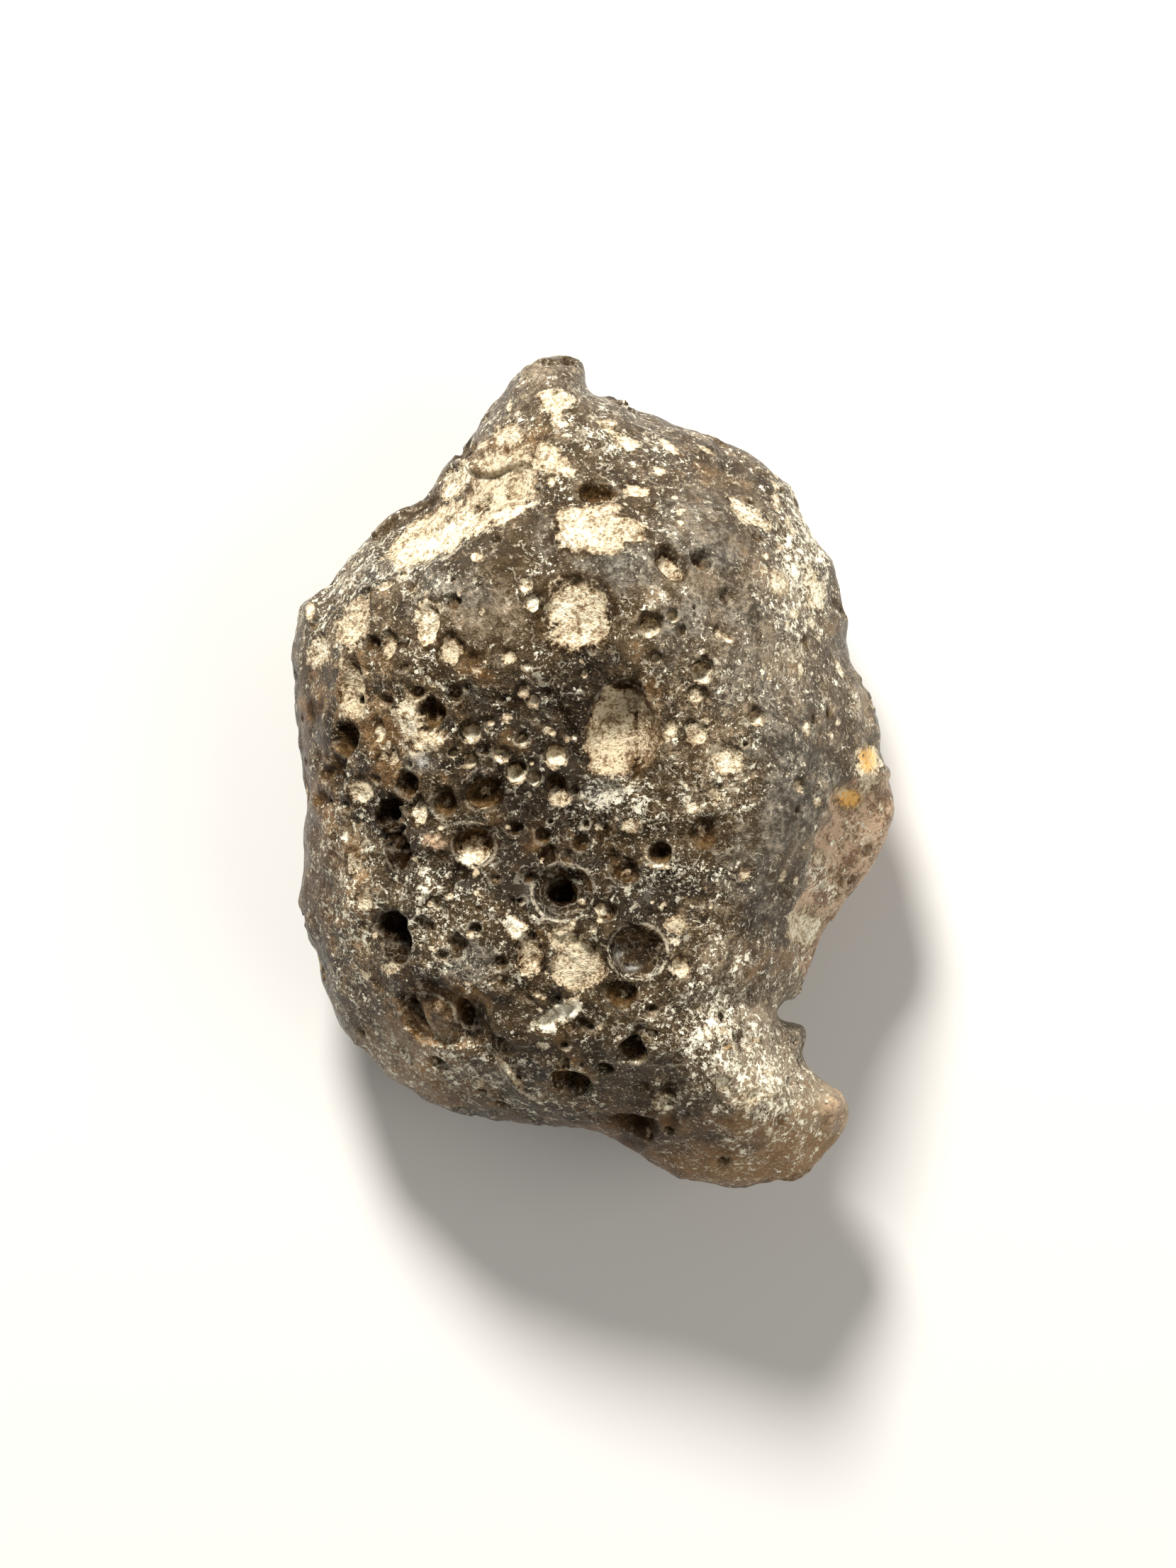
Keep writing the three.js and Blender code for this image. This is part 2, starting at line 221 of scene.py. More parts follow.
# small raised forms of the upper side, written like the swells
bumps = [
    (-6.5, -10.3, 0.75, 0.9, 0.7, 20), (1.15, -9.35, 0.28, 0.28, 0.35), (-3.5, -12.9, 0.18, 1.5, 0.3, 40),
    (-6.9, -2.9, 0.8, 0.55, 0.45), (10.85, 6.6, 0.5, 0.6, 0.2), (12.8, -1.4, 0.4, 0.9, 0.3),
    (2.75, -14, 0.3, 0.4, 0.3), (10.5, -14.4, 0.6, 0.6, 0.3), (-8, 2.3, 0.6, 0.5, 0.3),
    (-7.2, 1.5, 0.5, 0.3, 0.25), (-7.4, -5.8, 0.5, 1.3, 0.3, -10), (-9.5, 0.4, 0.5, 1, 0.25, 30),
    (-5.1, 7.4, 1, 1.2, 0.25),
]

# natural waviness over the whole skin: wavelength, height; the short ones are weaker in smooth places
waves = [(5.5, 0.30), (2.6, 0.17), (1.3, 0.12), (0.62, 0.075), (0.33, 0.04)]


def gridAxis(k):
    count = int(round((lump["high"][k] - lump["low"][k]) / lump["gridStep"])) + 1
    return (lump["low"][k] + np.arange(count) * lump["gridStep"]).astype(np.float32)


axisX, axisY, axisZ = gridAxis(0), gridAxis(1), gridAxis(2)
gridX = axisX[:, None, None]
gridY = axisY[None, :, None]
gridZ = axisZ[None, None, :]


def alongOutline(turns):
    points = np.array(outline)
    ends = np.roll(points, -1, axis=0)
    lengths = np.hypot(*(ends - points).T)
    marks = np.concatenate([[0], np.cumsum(lengths)]) / lengths.sum()
    closed = np.vstack([points, points[:1]])
    return np.stack([np.interp(turns % 1, marks, closed[:, k]) for k in range(2)], axis=-1)


def averagedOutline():
    start = np.arange(lump["smoothCorners"]) / lump["smoothCorners"]
    taps = np.linspace(-1, 1, 9) * lump["smoothingSpan"]
    return np.mean([alongOutline(start + tap) for tap in taps], axis=0)


# the outline with its corners cut twice
def roundedOutline():
    points = np.array(outline)
    for _ in range(2):
        ends = np.roll(points, -1, axis=0)
        points = np.stack([0.75 * points + 0.25 * ends, 0.25 * points + 0.75 * ends], axis=1)
        points = points.reshape(-1, 2)
    return points


# how far a place lies in from an outline, free of creases: each side counts by the fourth power
# of its nearness, summed along its length
def depthInside(points, x, y):
    nearness = np.zeros(np.broadcast(x, y).shape)
    crossings = np.zeros(nearness.shape, int)
    points = np.asarray(points, float)
    for start, end in zip(points, np.roll(points, -1, axis=0)):
        length = np.hypot(*(end - start))
        wayX, wayY = (end - start) / length
        dx, dy = x - start[0], y - start[1]
        along = dx * wayX + dy * wayY
        off = np.maximum(np.abs(dx * wayY - dy * wayX), 0.01)
        for s, sign in ((length - along, 1), (-along, -1)):
            reach = s * s + off * off
            nearness += sign * s * (2 * s * s + 3 * off * off) / (3 * off ** 4 * reach ** 1.5)
        if wayY:
            crossings += ((dy < 0) != (dy - wayY * length < 0)) & (dx < wayX / wayY * dy)
    return np.where(crossings % 2, 1, -1) * (0.75 * np.maximum(nearness, 1e-9)) ** -0.25


# how far a place lies from a straight side, with the way along that side and the way to the place
def gapToSide(start, end, x, y):
    way = end - start
    dx, dy = x - start[0], y - start[1]
    t = np.clip((dx * way[0] + dy * way[1]) / (way @ way), 0, 1)
    return np.hypot(dx - t * way[0], dy - t * way[1]), way, dx, dy


# distance to the nearest edge of a shape seen from above, above zero inside it
def insetFrom(corners, x, y):
    points = np.asarray(corners, float)
    nearest = np.full(np.broadcast(x, y).shape, 1e9)
    inside = np.zeros(nearest.shape, bool)
    for start, end in zip(points, np.roll(points, -1, axis=0)):
        gap, way, dx, dy = gapToSide(start, end, x, y)
        nearest = np.minimum(nearest, gap)
        if way[1]:
            inside ^= ((dy < 0) != (dy - way[1] < 0)) & (dx < way[0] / way[1] * dy)
    return np.where(inside, nearest, -nearest)


# distance to the nearest part of a line, above zero on its left
def gapFromLine(corners, x, y):
    points = np.asarray(corners, float)
    nearest = np.full(len(x), 9.0)
    for start, end in zip(points, points[1:]):
        gap, way, dx, dy = gapToSide(start, end, x, y)
        gap = gap * np.where(way[0] * dy > way[1] * dx, 1, -1)
        nearest = np.where(np.abs(gap) < np.abs(nearest), gap, nearest)
    return nearest


# a table's row of six values, with the usual ones in place of those left out at its end
def inFull(row, *usual):
    missing = 6 - len(row)
    return (*row, *usual[len(usual) - missing:])


# way across and way along, measured in a frame turned by some degrees
def turned(dx, dy, degrees):
    angle = math.radians(degrees)
    return (dx * math.cos(angle) + dy * math.sin(angle),
            dy * math.cos(angle) - dx * math.sin(angle))


# height of a set of soft rises and hollows: middle, reach across and along, rise, turn if any
def formRise(forms, x, y):
    total = 0
    for form in forms:
        middleX, middleY, across, along, rise, turn = inFull(form, 0)
        u, v = turned(x - middleX, y - middleY, turn)
        u, v = u / across, v / along
        total = total + rise * np.exp(-u * u - v * v)
    return total


# smooth random field on the whole grid, from -1 to 1, made axis by axis
def gridNoise(cell, seed):
    rng = np.random.default_rng(seed)
    weights = []
    for axis in (axisX, axisY, axisZ):
        place = (axis - axis[0]) / cell + rng.random()
        first = np.floor(place).astype(int)
        t = place - first
        t = t * t * (3 - 2 * t)
        matrix = np.zeros((len(axis), first.max() + 2), np.float32)
        matrix[np.arange(len(axis)), first] = 1 - t
        matrix[np.arange(len(axis)), first + 1] = t
        weights.append(matrix)
    values = rng.random([w.shape[1] for w in weights], dtype=np.float32) * 2 - 1
    field = np.tensordot(weights[0], values, (1, 0))
    field = np.matmul(weights[1], field)
    return np.matmul(field, weights[2].T)


def smoothMax(a, b, rounding):
    blend = np.maximum(rounding - np.abs(a - b), 0)
    return np.maximum(a, b) + blend * blend / (4 * rounding)


def smoothMin(a, b, rounding):
    return -smoothMax(-a, -b, rounding)


def eggDistance(u, v, w, halfU, halfV, halfW):
    near = np.sqrt((u / halfU) ** 2 + (v / halfV) ** 2 + (w / halfW) ** 2)
    steep = np.sqrt((u / halfU ** 2) ** 2 + (v / halfV ** 2) ** 2 + (w / halfW ** 2) ** 2)
    return near * (near - 1) / np.maximum(steep, 1e-6)


def lumpField():
    x, y = axisX[:, None].astype(float), axisY[None, :].astype(float)
    cornerDepth = depthInside(roundedOutline(), x, y).astype(np.float32)[:, :, None]
    smoothDepth = depthInside(averagedOutline(), x, y).astype(np.float32)[:, :, None]
    crown = (lump["crownRise"] + formRise(crownForms, x, y)).astype(np.float32)[:, :, None]
    belly = (lump["bellyDrop"] + formRise(bellyForms, x, y)).astype(np.float32)[:, :, None]
    rise = gridZ - lump["widestHeight"]
    detail = np.exp(-rise ** 2 / lump["edgeDetail"] ** 2)
    depth = cornerDepth * detail + smoothDepth * (1 - detail)
    reach = np.where(rise > 0, lump["crownReach"], lump["bellyReach"])
    outward = np.maximum(1 - depth / reach, 0)
    level = outward ** lump["shoulderPower"]
    level += (np.abs(rise) / np.where(rise > 0, crown, belly)) ** lump["flankPower"] - 1
    steepness = np.sqrt(sum(g * g for g in np.gradient(level, lump["gridStep"])))
    field = level / np.maximum(steepness, 0.02)
    for (atX, atY, atZ), half, turn in scars:
        u, v = turned(gridX - atX, gridY - atY, turn)
        field = smoothMax(field, -eggDistance(u, v, gridZ - atZ, *half), lump["scarRounding"])
    return field.astype(np.float32)


# wandering of edges seen from above, in large and small bends
def wander(seed):
    large, small = (gridNoise(cell, seed + k)[:, :, 0].astype(float) for k, cell in enumerate((1.7, 0.7)))
    return 0.4 * large + 0.16 * small


# steps and small forms, on the upper side only, with wandering edges
def workSteps(values):
    x = axisX[:, None] + wander(61)
    y = axisY[None, :] + wander(63)
    drop = -formRise(bumps, x, y)
    for lowered, softness, corners in steps.values():
        share = np.clip(insetFrom(corners, x, y) / softness + 0.5, 0, 1)
        drop = drop + lowered * share * share * (3 - 2 * share)
    upper = np.clip((axisZ - lump["stepsFrom"]) / lump["stepsFade"], 0, 1)
    return values + drop.astype(np.float32)[:, :, None] * upper[None, None, :]


# where the glass is full of small bubbles, written like the swells, with a share for the rise
crowds = [
    (-5, -1, 5, 7, 0.9), (-9, 3, 4, 6, 0.6), (0, -6, 5, 4, 0.7), (-4, 12, 4, 3, 0.7), (0, -12, 6, 3, 0.6),
    (7, -13, 3, 3, 0.4), (3, 4, 3, 3, 0.35),
]
gnawed = {
    "depth": 1.5,
    "cells": ((1.25, 0.75), (0.6, 0.45)),        # size and weight
    "threshold": 0.30,
    "leastShare": 0.12,
}


# ragged hollows where many small bubbles have run together
def gnaw(values):
    hollows = sum(weight * gridNoise(cell, 71 + k) for k, (cell, weight) in enumerate(gnawed["cells"]))
    share = formRise(crowds, axisX[:, None], axisY[None, :])
    share = np.clip(share, gnawed["leastShare"], 1).astype(np.float32)
    eaten = np.clip(hollows - gnawed["threshold"], 0, 0.5) * share[:, :, None]
    return values + gnawed["depth"] * eaten, eaten


field = workSteps(lumpField())
skin = field.copy()
smoother = 1 - 0.6 * np.clip(formRise(smoothPlaces, axisX[:, None], axisY[None, :]), 0, 1)
for seed, (wavelength, height) in enumerate(waves):
    share = 1 if wavelength > 2 else smoother.astype(np.float32)[:, :, None]
    field += height * share * gridNoise(wavelength, seed)
field, eaten = gnaw(field)
print("lump field", field.shape)


# Burst bubbles. A plain one is open and clean, and each kind says how it differs from that.
plainBubble = {
    "fill": 0,               # share of its depth that is full of dust
    "rim": 0.03,             # how much its rim stands up
    "lip": 0.12,             # how round its lip is
    "dust": -0.4,            # how dusty it is, from below zero for none to 1 for packed
    "bright": 0,             # how light that dust is
    "lowerDustAndLight": 0,            # how much more of it lies in the lower half, painted lighter there and darker above, as light and shade
    "grimeAndShade": 1,              # how brown and dark the hole is: brown grime and painted shade
    "steep": 2.5,            # how soon its painted shade darkens going down
    "floor": 0,              # how much painted light its lower wall gets
    "line": 0,               # how light the painted highlight round its rim is
    "fade": 0.7,             # how much that painted highlight fades towards the top
    "rough": 0,              # how rough its walls are
}
# places: x, y, half width, half length, depth, and a turn where it isn't 0
bubbleKinds = {
    # its dust is among the cakes below
    "caked": {"fill": 0.5, "grimeAndShade": 0.6, "places": [
        (-6.6, 10.2, 2.25, 1.05, 0.5, 26), (0.1, 10.4, 2, 1.15, 0.6), (6.5, 11.3, 1.15, 0.6, 0.4, -38),
        (-1.5, 15.9, 0.8, 0.7, 0.4), (-5.9, 12.8, 0.5, 0.9, 0.5, -30), (1.1, 14.5, 0.95, 0.45, 0.35, -35),
        (9.4, 8.1, 0.32, 0.75, 0.3, 12), (9, -6.7, 0.62, 0.6, 0.35, -20), (-3.35, -6.5, 0.48, 0.4, 0.4),
        (-1.75, -10.25, 0.95, 0.33, 0.4, 32), (5.5, 0.75, 0.75, 0.6, 0.35), (-0.7, -8.1, 1.2, 1.1, 0.6),
        (-3.5, 14.3, 0.9, 0.65, 0.6, 35), (-3.2, 12.4, 0.8, 1, 0.6), (-2, 13.4, 0.55, 0.6, 0.4),
        (4.9, -0.8, 0.5, 0.45, 0.3),
    ]},
    "creamFilled": {"fill": 0.5, "dust": 1, "bright": 0.7, "grimeAndShade": 0.5, "lowerDustAndLight": 0.2, "places": [
        (-0.8, 6.85, 1.6, 1.5, 0.8), (-10.2, 6.7, 0.55, 1.35, 0.6, -12), (-12, 5.4, 0.7, 0.72, 0.5),
        (-7.1, 6.4, 0.5, 0.95, 0.7), (4.2, 1.8, 0.52, 0.55, 0.4), (1.8, 12.2, 0.6, 0.42, 0.45),
        (-9, 8.1, 0.45, 0.3, 0.3), (-2.65, 7.25, 0.35, 0.4, 0.3), (-2.95, 8, 0.3, 0.3, 0.25),
        (5.4, -13.1, 0.4, 0.3, 0.25),
    ]},
    "dusty": {"fill": 0.26, "dust": 0.92, "bright": 0.25, "grimeAndShade": 0.9, "lowerDustAndLight": 0.5, "places": [
        (-10.4, 3.6, 0.72, 1.3, 0.6), (-6.2, 5.3, 0.48, 0.78, 0.6), (-5.3, 1.7, 0.5, 0.45, 0.5),
        (-5.3, 0.6, 0.35, 0.35, 0.4), (3.15, 8.9, 0.55, 0.85, 0.7, 20), (-10, -0.7, 0.66, 0.66, 0.4),
        (-7.5, -1.5, 0.42, 0.65, 0.5), (-2.8, -7.6, 0.72, 1, 0.9), (-1.5, -7, 0.4, 0.6, 0.5),
        (-10.6, -3.7, 0.5, 0.6, 0.35), (-9.9, -5.3, 0.4, 0.55, 0.3), (-3.65, 5, 0.35, 0.33, 0.35),
        (-8.8, 5.5, 0.4, 0.6, 0.4), (0.6, 14.9, 0.4, 0.22, 0.3), (1.6, 10.2, 0.7, 0.4, 0.3),
        (3.6, 6, 0.25, 0.25, 0.3), (4.3, 3.4, 0.4, 0.4, 0.3), (3.2, 2, 0.3, 0.4, 0.3),
        (-2.2, -9.4, 0.25, 0.22, 0.25), (6.4, -4.2, 0.4, 0.35, 0.3), (-8.6, 0.7, 0.3, 0.3, 0.35),
        (-9.2, 1.9, 0.3, 0.5, 0.3),
    ]},
    # open above, with dust in the lower half, painted lighter below and darker above as light and shade
    "halfFull": {"fill": 0.15, "rim": 0.04, "lip": 0.08, "dust": 0.72, "lowerDustAndLight": 1.1,
                 "line": 0.7, "places": [
        (-5.15, -3, 0.88, 0.88, 1.1),
    ]},
    "smoothHollow": {"lip": 0.22, "grimeAndShade": 0.9, "places": [
        (1.1, 1.8, 1.6, 2.3, 1.4, -4), (1.7, -15, 1.05, 1, 0.7),
    ]},
    "open": {"rim": 0.04, "lip": 0.1, "dust": 0.3, "grimeAndShade": 0.9, "line": 0.3, "floor": 0.5, "places": [
        (0.1, 12.1, 0.95, 0.55, 1), (-4.8, 11.6, 0.45, 0.42, 0.5), (4.45, 9, 0.5, 0.5, 0.45),
        (-6.1, 7.35, 0.42, 0.42, 0.5), (-9.6, 5.6, 0.5, 0.35, 0.5), (-8, -0.45, 0.55, 0.6, 0.8),
        (-10.75, 1.5, 0.8, 0.85, 1.1), (-7.6, 3.5, 0.4, 0.3, 0.4), (-6, 3.4, 0.4, 0.4, 0.5),
        (-1.65, -0.6, 0.55, 0.62, 0.8), (-6.4, -1.2, 0.55, 0.65, 0.8), (-4.7, -0.8, 0.85, 0.75, 0.9),
        (1.3, -4.1, 0.65, 0.6, 0.6), (-3.4, -2.3, 0.45, 0.3, 0.5), (-2.2, -2.6, 0.35, 0.35, 0.4),
        (-0.6, -2.9, 0.42, 0.4, 0.5), (-1.2, -3.5, 0.4, 0.4, 0.4), (0.5, -5.8, 0.4, 0.4, 0.5),
        (1.1, -9.3, 0.72, 0.68, 0.8), (1.6, -11.7, 0.66, 0.66, 1), (0.4, -12.5, 0.42, 0.35, 0.5),
        (-1.1, -13.1, 0.92, 0.85, 1.3), (-6.85, 2.5, 0.5, 0.62, 0.8, -20),
        (-7.6, -10.2, 0.34, 0.95, 0.7, 25), (-5.45, -10.3, 0.42, 0.85, 0.8, 18),
        (4.6, -2.5, 0.65, 0.8, 0.6), (5.4, -10.4, 0.3, 0.4, 0.5), (-5.9, -7.6, 0.3, 0.3, 0.4),
        (-6.5, -3.5, 0.3, 0.3, 0.35), (-4.2, -4.4, 0.27, 0.27, 0.35), (-4.1, -8, 0.4, 0.36, 0.45),
        (-6.7, -12.3, 0.45, 0.36, 0.4), (6.75, 11.85, 0.4, 0.25, 0.3), (7, 10.2, 0.35, 0.25, 0.35),
        (9.15, 5.7, 0.24, 0.42, 0.35), (9.4, 2.4, 0.2, 0.38, 0.3, -45), (5.5, 7.5, 0.3, 0.34, 0.25),
        (9.45, -0.8, 0.2, 0.12, 0.25), (11.8, -3.3, 0.34, 0.34, 0.35), (10.3, -4.2, 0.28, 0.24, 0.3),
        (10.7, -4.7, 0.22, 0.26, 0.3), (9.9, -4.9, 0.26, 0.22, 0.3), (10.5, -5.3, 0.3, 0.2, 0.3),
        (-5.9, -6.8, 0.2, 0.2, 0.3), (2.4, -9.9, 0.28, 0.16, 0.25), (-0.3, -10.7, 0.26, 0.2, 0.3),
        (-1.3, -11.5, 0.2, 0.16, 0.3), (-1.1, 6.3, 0.2, 0.2, 0.35), (2.5, 11.5, 0.18, 0.18, 0.25),
        (3.2, -15.1, 0.25, 0.2, 0.3),
    ]},
    "glassy": {"rim": 0.12, "lip": 0.08, "dust": -0.1, "grimeAndShade": 0.4, "line": 1, "fade": 0.35, "places": [
        (-1.35, -5, 1.25, 1.2, 0.75), (1.8, -7.5, 1.2, 1.15, 0.9), (-5.1, -6.55, 0.32, 0.32, 0.4),
    ]},
    # holes with a light ring of dust round the mouth
    "ringed": {"rim": 0.08, "lip": 0.08, "dust": 0.1, "bright": 0.3, "grimeAndShade": 0.95,
               "line": 0.8, "fade": 0.4, "floor": 0.7, "places": [
        (2.72, -3.36, 0.54, 0.54, 0.8), (-0.4, -2.1, 0.2, 0.2, 0.3), (-1.9, -2, 0.15, 0.15, 0.25),
        (-4.9, -13.6, 0.3, 0.28, 0.3), (-3.1, -5.3, 0.16, 0.16, 0.25), (-6.5, -7.7, 0.3, 0.26, 0.35),
    ]},
    # small, with a light spoonful of dust in each; the dust is painted lighter below and darker above, as
    # light and shade
    "pearl": {"fill": 0.12, "rim": 0.05, "lip": 0.07, "dust": 1, "bright": 0.55,
              "lowerDustAndLight": 0.75, "line": 0.7, "places": [
        (-1.7, 0.85, 0.52, 0.5, 0.6), (-3.95, 0.85, 0.36, 0.36, 0.45), (-3.35, 0.15, 0.46, 0.48, 0.6),
        (-2.6, -0.15, 0.3, 0.32, 0.45), (-3.1, 1.5, 0.3, 0.3, 0.4), (-2.6, 3.1, 0.3, 0.32, 0.4),
        (-1.55, -0.85, 0.5, 0.42, 0.5, -20), (-4.4, 2.2, 0.18, 0.18, 0.25), (-2, 1.9, 0.18, 0.2, 0.25),
        (-0.9, 1.6, 0.15, 0.15, 0.2), (-6, 0.9, 0.2, 0.2, 0.25), (3.2, 6.65, 0.28, 0.28, 0.35),
        (2.3, 6.3, 0.48, 0.55, 0.6), (4.5, 4.4, 0.5, 0.55, 0.6), (6.8, 2.45, 0.42, 0.38, 0.4),
        (3.7, -8.1, 0.5, 0.5, 0.6), (-5.3, 1.8, 0.48, 0.42, 0.45), (-2.9, 4.6, 0.2, 0.2, 0.25),
        (0.2, -5.6, 0.3, 0.3, 0.35), (5.6, 5.8, 0.22, 0.22, 0.25), (-6.2, -5.1, 0.2, 0.2, 0.25),
        (2.9, -5.5, 0.2, 0.2, 0.25),
    ]},
    # deep and clean, with painted shade that goes dark soon going down
    "shaft": {"lip": 0.08, "line": 0.3, "fade": 0.5, "steep": 7, "rough": 0.1, "places": [
        (-1.4, -4.9, 0.68, 0.6, 1.9), (-10.15, 3.15, 0.25, 0.2, 1.2), (-8.75, -6.55, 0.98, 0.86, 2),
        (-8.5, -7.3, 0.82, 0.85, 2.4),
    ]},
    # bubbles run together, with crumbling walls
    "cleft": {"rim": 0.02, "lip": 0.08, "dust": -0.3, "line": 0.3, "fade": 0.5, "steep": 5,
              "rough": 0.32, "places": [
        (-8.95, -1.65, 0.75, 0.7, 1.3), (-8.75, -2.5, 0.72, 0.7, 1.5), (-8.45, -3.3, 0.75, 0.9, 1.9, 20),
    ]},
    "underside": {"fill": 0.25, "rim": 0.05, "dust": 0.8, "bright": 0.5, "grimeAndShade": 0.7, "places": [
        (7.2, 8.2, 1.5, 1.3, 1.2, 20), (-7.4, -8.2, 1.3, 1.7, 1.2), (0.5, 13.4, 1.1, 0.9, 0.9),
        (-10.2, 3.4, 1, 1.5, 1), (9.6, -1.6, 1.2, 1.6, 1), (6.6, -14.6, 1.2, 1, 0.9),
        (-3.2, -12.3, 1, 1.2, 0.9, 40), (-7.6, 8.7, 1.1, 0.9, 0.8), (9.4, 3.8, 0.9, 1.1, 0.8),
        (-9.9, -3.2, 0.8, 0.9, 0.8),
    ]},
}
bubbleKinds = {name: {**plainBubble, **kind} for name, kind in bubbleKinds.items()}
bubbleMake = {
    "mouth": 0.35,            # how far a bubble's middle lies above the skin, in its depths
    "wobbles": ((2, 0.05), (3, 0.06), (5, 0.045), (8, 0.03)),   # waves round it, and their share
    "rimWidth": 0.22,
    "dustLumps": 0.09,
    "dustRounding": 0.06,
    "dustOverlap": 0.05,      # how far the dust goes into the wall, so that no gap stays
    "worked": (1.35, 0.5),    # how far round its middle the field is worked: in its own size, and beyond
}

# small bubbles and shallow scallops strewn by chance; sizes are half widths
strewn = {
    "crown": (230, 0.12, 0.30),  # count, smallest and largest
    "round": (380, 0.14, 0.42),
    "smallOnes": 2.2,            # the higher, the more of them are small
    "stretch": (0.8, 1.3),
    "depth": (0.7, 1.5),
    "dusty": 0.4,                # share of them that is dusty
    "leastCrowd": 0.06,          # share that is kept where the glass has few bubbles
}
scallops = {"count": 46, "size": (0.8, 1.9), "stretch": (0.8, 1.4), "depth": 0.28, "lip": 0.3}
nearSkin = 0.6                   # grid points this near the skin, in grid steps, may carry one

# none of them here: middle, reach
calm = [(1.1, 2.6, 2.1), (0.9, 0.8, 2.0), (-9.2, 10.4, 1.3), (-7, 11.9, 1.3), (-5.4, 13.8, 1.3),
        (-7.4, 2, 1.4), (-8.3, 10.9, 1.2), (11.6, -2.6, 1.4), (-10.4, 3.6, 1)]

grain = gridNoise(0.34, 40) + 0.7 * gridNoise(0.21, 41)      # lumpy dust in the bubbles
chance = np.random.default_rng(7)
bubbleLog = []


def sampleField(values, places):
    spots = [(places[:, k] - lump["low"][k]) / lump["gridStep"] for k in range(3)]
    low = [np.clip(np.floor(s).astype(int), 0, values.shape[k] - 2) for k, s in enumerate(spots)]
    part = [s - l for s, l in zip(spots, low)]
    total = 0
    for a in (0, 1):
        for b in (0, 1):
            for c in (0, 1):
                weight = ((part[0] if a else 1 - part[0]) * (part[1] if b else 1 - part[1])
                          * (part[2] if c else 1 - part[2]))
                total = total + weight * values[low[0] + a, low[1] + b, low[2] + c]
    return total


def outwardAt(place):
    slope = np.array([(sampleField(skin, (place + way)[None]) - sampleField(skin, (place - way)[None]))[0]
                      for way in np.eye(3) / 2])
    return slope / max(np.linalg.norm(slope), 1e-6)


def skinPlace(x, y, side):
    i = int(round((x - lump["low"][0]) / lump["gridStep"]))
    j = int(round((y - lump["low"][1]) / lump["gridStep"]))
    inside = np.nonzero(skin[i, j] < 0)[0]
    k = (inside[-1] if side > 0 else inside[0]) if len(inside) else len(axisZ) // 2
    return np.array([x, y, axisZ[k] + 0.5 * side * lump["gridStep"]])


def burstBubble(place, outward, halfWidth, halfLength, turn, depth, kind):
    global field
    up = np.array([0.0, 0.0, 1.0 if outward[2] >= 0 else -1.0])
    lean = Vector(up).rotation_difference(Vector(outward)).to_matrix()
    frameAxes = np.array(lean @ Matrix.Rotation(math.radians(turn), 3, "Z"))
    across, along = frameAxes[:, 0], frameAxes[:, 1]
    mouth = bubbleMake["mouth"]
    tall = depth / (1 - mouth)
    widen = 1 / math.sqrt(1 - mouth ** 2)
    middle = place + outward * tall * mouth
    ownSize, beyond = bubbleMake["worked"]
    reach = max(halfWidth, halfLength, tall) * ownSize + beyond
    box = tuple(slice(max(int((middle[k] - reach - lump["low"][k]) / lump["gridStep"]), 0),
                      max(int((middle[k] + reach - lump["low"][k]) / lump["gridStep"]) + 2, 0))
                for k in range(3))
    dx, dy, dz = gridX[box[0]] - middle[0], gridY[:, box[1]] - middle[1], gridZ[:, :, box[2]] - middle[2]
    u, v, w = (dx * way[0] + dy * way[1] + dz * way[2] for way in (across, along, outward))
    angle = np.arctan2(v / halfLength, u / halfWidth)
    wobble = 1.0
    for count, share in bubbleMake["wobbles"]:
        wobble = wobble + share * np.cos(count * angle + chance.uniform(0, 6.28))
    distance = eggDistance(u / wobble, v / wobble, w, halfWidth * widen, halfLength * widen, tall)
    distance = distance + kind["rough"] * grain[box]
    part = field[box] - kind["rim"] * np.exp(-(distance / bubbleMake["rimWidth"]) ** 2)
    part = smoothMax(part, -distance, kind["lip"])
    if kind["fill"]:
        floor = w + tall - depth * kind["fill"] + bubbleMake["dustLumps"] * grain[box]
        part = smoothMin(part, np.maximum(floor, distance - bubbleMake["dustOverlap"]),
                         bubbleMake["dustRounding"])
    field[box] = part
    bubbleLog.append((place, across, along, outward, halfWidth, halfLength, depth, kind))


for kind in bubbleKinds.values():
    side = -1 if kind is bubbleKinds["underside"] else 1
    for row in kind["places"]:
        x, y, halfWidth, halfLength, depth, turn = inFull(row, 0)
        place = skinPlace(x, y, side)
        burstBubble(place, outwardAt(place), halfWidth, halfLength, turn, depth, kind)
print("bubbles burst", len(bubbleLog))


# chance places on the skin, away from the calm ones
def chancePlaces():
    near = np.argwhere(np.abs(skin) < lump["gridStep"] * nearSkin)
    places = np.array(lump["low"]) + near[chance.permutation(len(near))] * lump["gridStep"]
    away = [np.hypot(places[:, 0] - x, places[:, 1] - y) > reach for x, y, reach in calm]
    return places[np.all(away, axis=0)]


# broad shallow scallops on the flanks and underside
def strewScallops():
    kind = {**plainBubble, "rim": 0, "lip": scallops["lip"], "grimeAndShade": 0}
    places = chancePlaces()
    places = places[(places[:, 2] < lump["widestHeight"] - 1) & (places[:, 2] > 1)]
    for place in places[:scallops["count"]]:
        size = chance.uniform(*scallops["size"])
        burstBubble(place, outwardAt(place), size, size * chance.uniform(*scallops["stretch"]),
                    chance.uniform(0, 180), size * scallops["depth"], kind)


